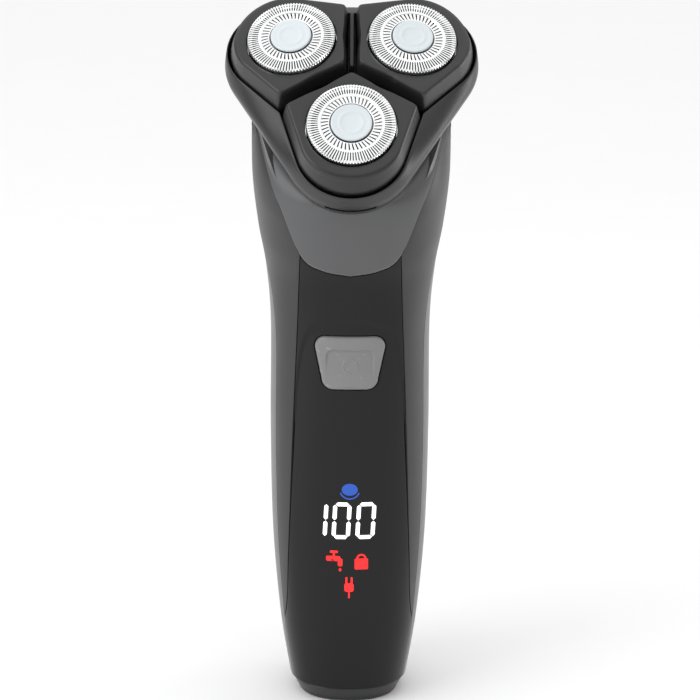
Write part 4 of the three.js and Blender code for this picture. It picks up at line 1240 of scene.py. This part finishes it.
def make_base_cap():
    columns = 120
    foot = CAP_INSET + CAP_TAPER
    rim = CAP_HEIGHT - GAP
    steps = [(2 * WALL + 1.4, 2.0), (2 * WALL + 1.4, CAP_HEIGHT + 2.6), (WALL + GAP + 0.5, CAP_HEIGHT + 2.8),
             (WALL + GAP + 0.3, CAP_HEIGHT + 2.4), (WALL + GAP + 0.3, rim), (CAP_INSET + 0.35, rim),
             (CAP_INSET + 0.1, rim - 0.1), (CAP_INSET, rim - 0.35)]
    steps += [(lerp(CAP_INSET, foot, t ** 1.2), lerp(rim - 0.35, 0.95, t)) for t in (0.2, 0.4, 0.6, 0.8, 1)]
    steps += [(foot + 0.9 * (1 - math.cos(b)), 0.95 - 0.95 * math.sin(b))
              for b in (0.4, 0.8, 1.2, RIGHT_ANGLE)]
    verts = []
    for inset, height in steps:
        verts += [cap_point(2 * math.pi * j / columns, inset, height) for j in range(columns)]
    cap = sharp_by_angle(mesh_object("base_cap", verts, stack_faces(len(steps), columns)), 32)
    hole = stadium("hole", PORT_HALF + 0.65, PORT_RADIUS + 0.65, -1, 9)
    cut(cap, hole)
    return sharp_by_angle(cap, 32)


def stadium(name, half, radius, z0, z1, steps=14):
    straight = half - radius
    outline = []
    for side, start in ((1, -90), (-1, 90)):
        for k in range(steps + 1):
            angle = math.radians(start + 180 * k / steps)
            outline.append((side * straight + radius * math.cos(angle), PORT_Y + radius * math.sin(angle)))
    count = len(outline)
    verts = [(x, y, z0) for x, y in outline] + [(x, y, z1) for x, y in outline]
    faces = [(j, (j + 1) % count, count + (j + 1) % count, count + j) for j in range(count)]
    faces += [tuple(range(count))[::-1], tuple(range(count, 2 * count))]
    return mesh_object(name, verts, faces, smooth=False)


def make_socket():
    shell = stadium("shell", PORT_HALF + 0.35, PORT_RADIUS + 0.35, GAP, 7.6)
    cut(shell, stadium("mouth", PORT_HALF, PORT_RADIUS, 0, 6.8))
    sharp_by_angle(shell, 40)
    tongue = block("tongue", (-3.3, PORT_Y - 0.35, 1.2), (3.3, PORT_Y + 0.35, 7.2), Matrix.Identity(4), 0.1)
    return join("usb_socket", [shell, tongue])


finish_piece(make_button(), button_grey, "button", "button_grey", "power_button")
make_display()
finish_piece(make_base_cap(), satin_black, "handle", "satin_black", "base_cap")
finish_piece(make_socket(), bright_steel, "handle", "tab_steel", "usb_socket")
finish_piece(make_skirt(), satin_black, "head", "satin_black", "head_skirt")
finish_piece(make_head_frame(), rib_black, "head", "satin_black", "head_frame")
for lobe in LOBES:
    finish_piece(make_pod(lobe), pod_black, f"pod_body_{lobe}", "satin_black", f"pod_{lobe}")
    finish_piece(make_guard(lobe), guard_chrome, f"guard_body_{lobe}", "guard_chrome", f"guard_{lobe}")
    finish_piece(make_cap(lobe), cap_pale, f"guard_body_{lobe}", "cap_pale", f"guard_cap_{lobe}")


# ------------------------------------------------------------ finishes of the pieces carried over
CARRIED = {
    "chassis": dark_nylon, "drive_deck": dark_nylon, "battery": battery_film,
    "battery_tab_lower": bright_steel, "battery_tab_upper": bright_steel, "circuit_board": board_green,
    "charge_board": board_green, "display_module": soft_rubber, "tact_switch": bright_steel,
    "gear_plate": bright_steel, "motor_can": bright_steel, "motor_shaft": bright_steel,
    "motor_endcap": white_nylon, "pinion": white_nylon, "chamber_seal": soft_rubber,
    "hinge_bracket": satin_black, "hinge_pin": bright_steel,
    "plate_screw_1": bright_steel, "plate_screw_2": bright_steel, "plate_screw_3": bright_steel,
}
for lobe in LOBES:
    CARRIED[f"drive_gear_{lobe}"] = white_nylon
    CARRIED[f"spindle_{lobe}"] = white_nylon
    CARRIED[f"cutter_{lobe}"] = cutter_steel
    CARRIED[f"retaining_ring_{lobe}"] = dark_nylon
for node, material in CARRIED.items():
    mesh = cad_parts[node].data
    mesh.materials.clear()
    mesh.materials.append(material)


# ------------------------------------------------------------ floor, light and camera
def make_world():
    """A white studio: bright overhead, dimmer towards the horizon."""
    world = bpy.data.worlds.new("studio")
    bpy.context.scene.world = world
    world.use_nodes = True
    nodes, links = world.node_tree.nodes, world.node_tree.links
    place = nodes.new("ShaderNodeTexCoord")
    split = nodes.new("ShaderNodeSeparateXYZ")
    links.new(place.outputs["Generated"], split.inputs["Vector"])
    level = nodes.new("ShaderNodeMapRange")
    level.interpolation_type = "SMOOTHSTEP"
    level.inputs["From Min"].default_value = -0.05
    level.inputs["From Max"].default_value = 0.95
    level.inputs["To Min"].default_value = 0.3
    level.inputs["To Max"].default_value = 1.27
    links.new(split.outputs["Z"], level.inputs["Value"])
    background = nodes["Background"]
    background.inputs["Color"].default_value = (1, 1, 1, 1)
    links.new(level.outputs["Result"], background.inputs["Strength"])


def soft_light(name, place, target, width, height, power):
    data = bpy.data.lights.new(name, "AREA")
    data.shape = "RECTANGLE"
    data.size = width * MM
    data.size_y = height * MM
    data.energy = power
    light = bpy.data.objects.new(name, data)
    bpy.context.scene.collection.objects.link(light)
    aim = Vector(target) - Vector(place)
    turn = aim.to_track_quat("-Z", "Y").to_matrix().to_4x4()
    light.matrix_world = Matrix.Translation(Vector(place) * MM) @ turn


def make_stage():
    bpy.ops.mesh.primitive_plane_add(size=6, location=(0, 0, 0))
    floor = bpy.context.object
    floor.name = "floor"
    floor.data.materials.append(shader("floor_paint", (0.93, 0.93, 0.93), 0.6, grain=3, bump=0.02, tint=0.01))
    make_world()
    soft_light("key", (-520, -330, 420), (0, 0, 120), 420, 620, 1.9)
    soft_light("rim", (480, 120, 60), (0, -10, 130), 200, 420, 0.7)


CAMERA_PLACE = Vector((0, -590, 263))
CAMERA_PITCH = math.radians(16.7)
CAMERA_ROLL = math.radians(0.35)


def make_camera():
    data = bpy.data.cameras.new("camera")
    data.lens = 132.5
    data.sensor_width = 36
    data.clip_start = 0.02
    camera = bpy.data.objects.new("camera", data)
    bpy.context.scene.collection.objects.link(camera)
    down = Matrix.Rotation(RIGHT_ANGLE - CAMERA_PITCH, 4, "X")
    roll = Matrix.Rotation(CAMERA_ROLL, 4, "Z")
    camera.matrix_world = (Matrix.Translation(CAMERA_PLACE * MM) @ down @ roll)
    bpy.context.scene.camera = camera


make_stage()
make_camera()
bpy.context.scene.view_settings.view_transform = "Standard"
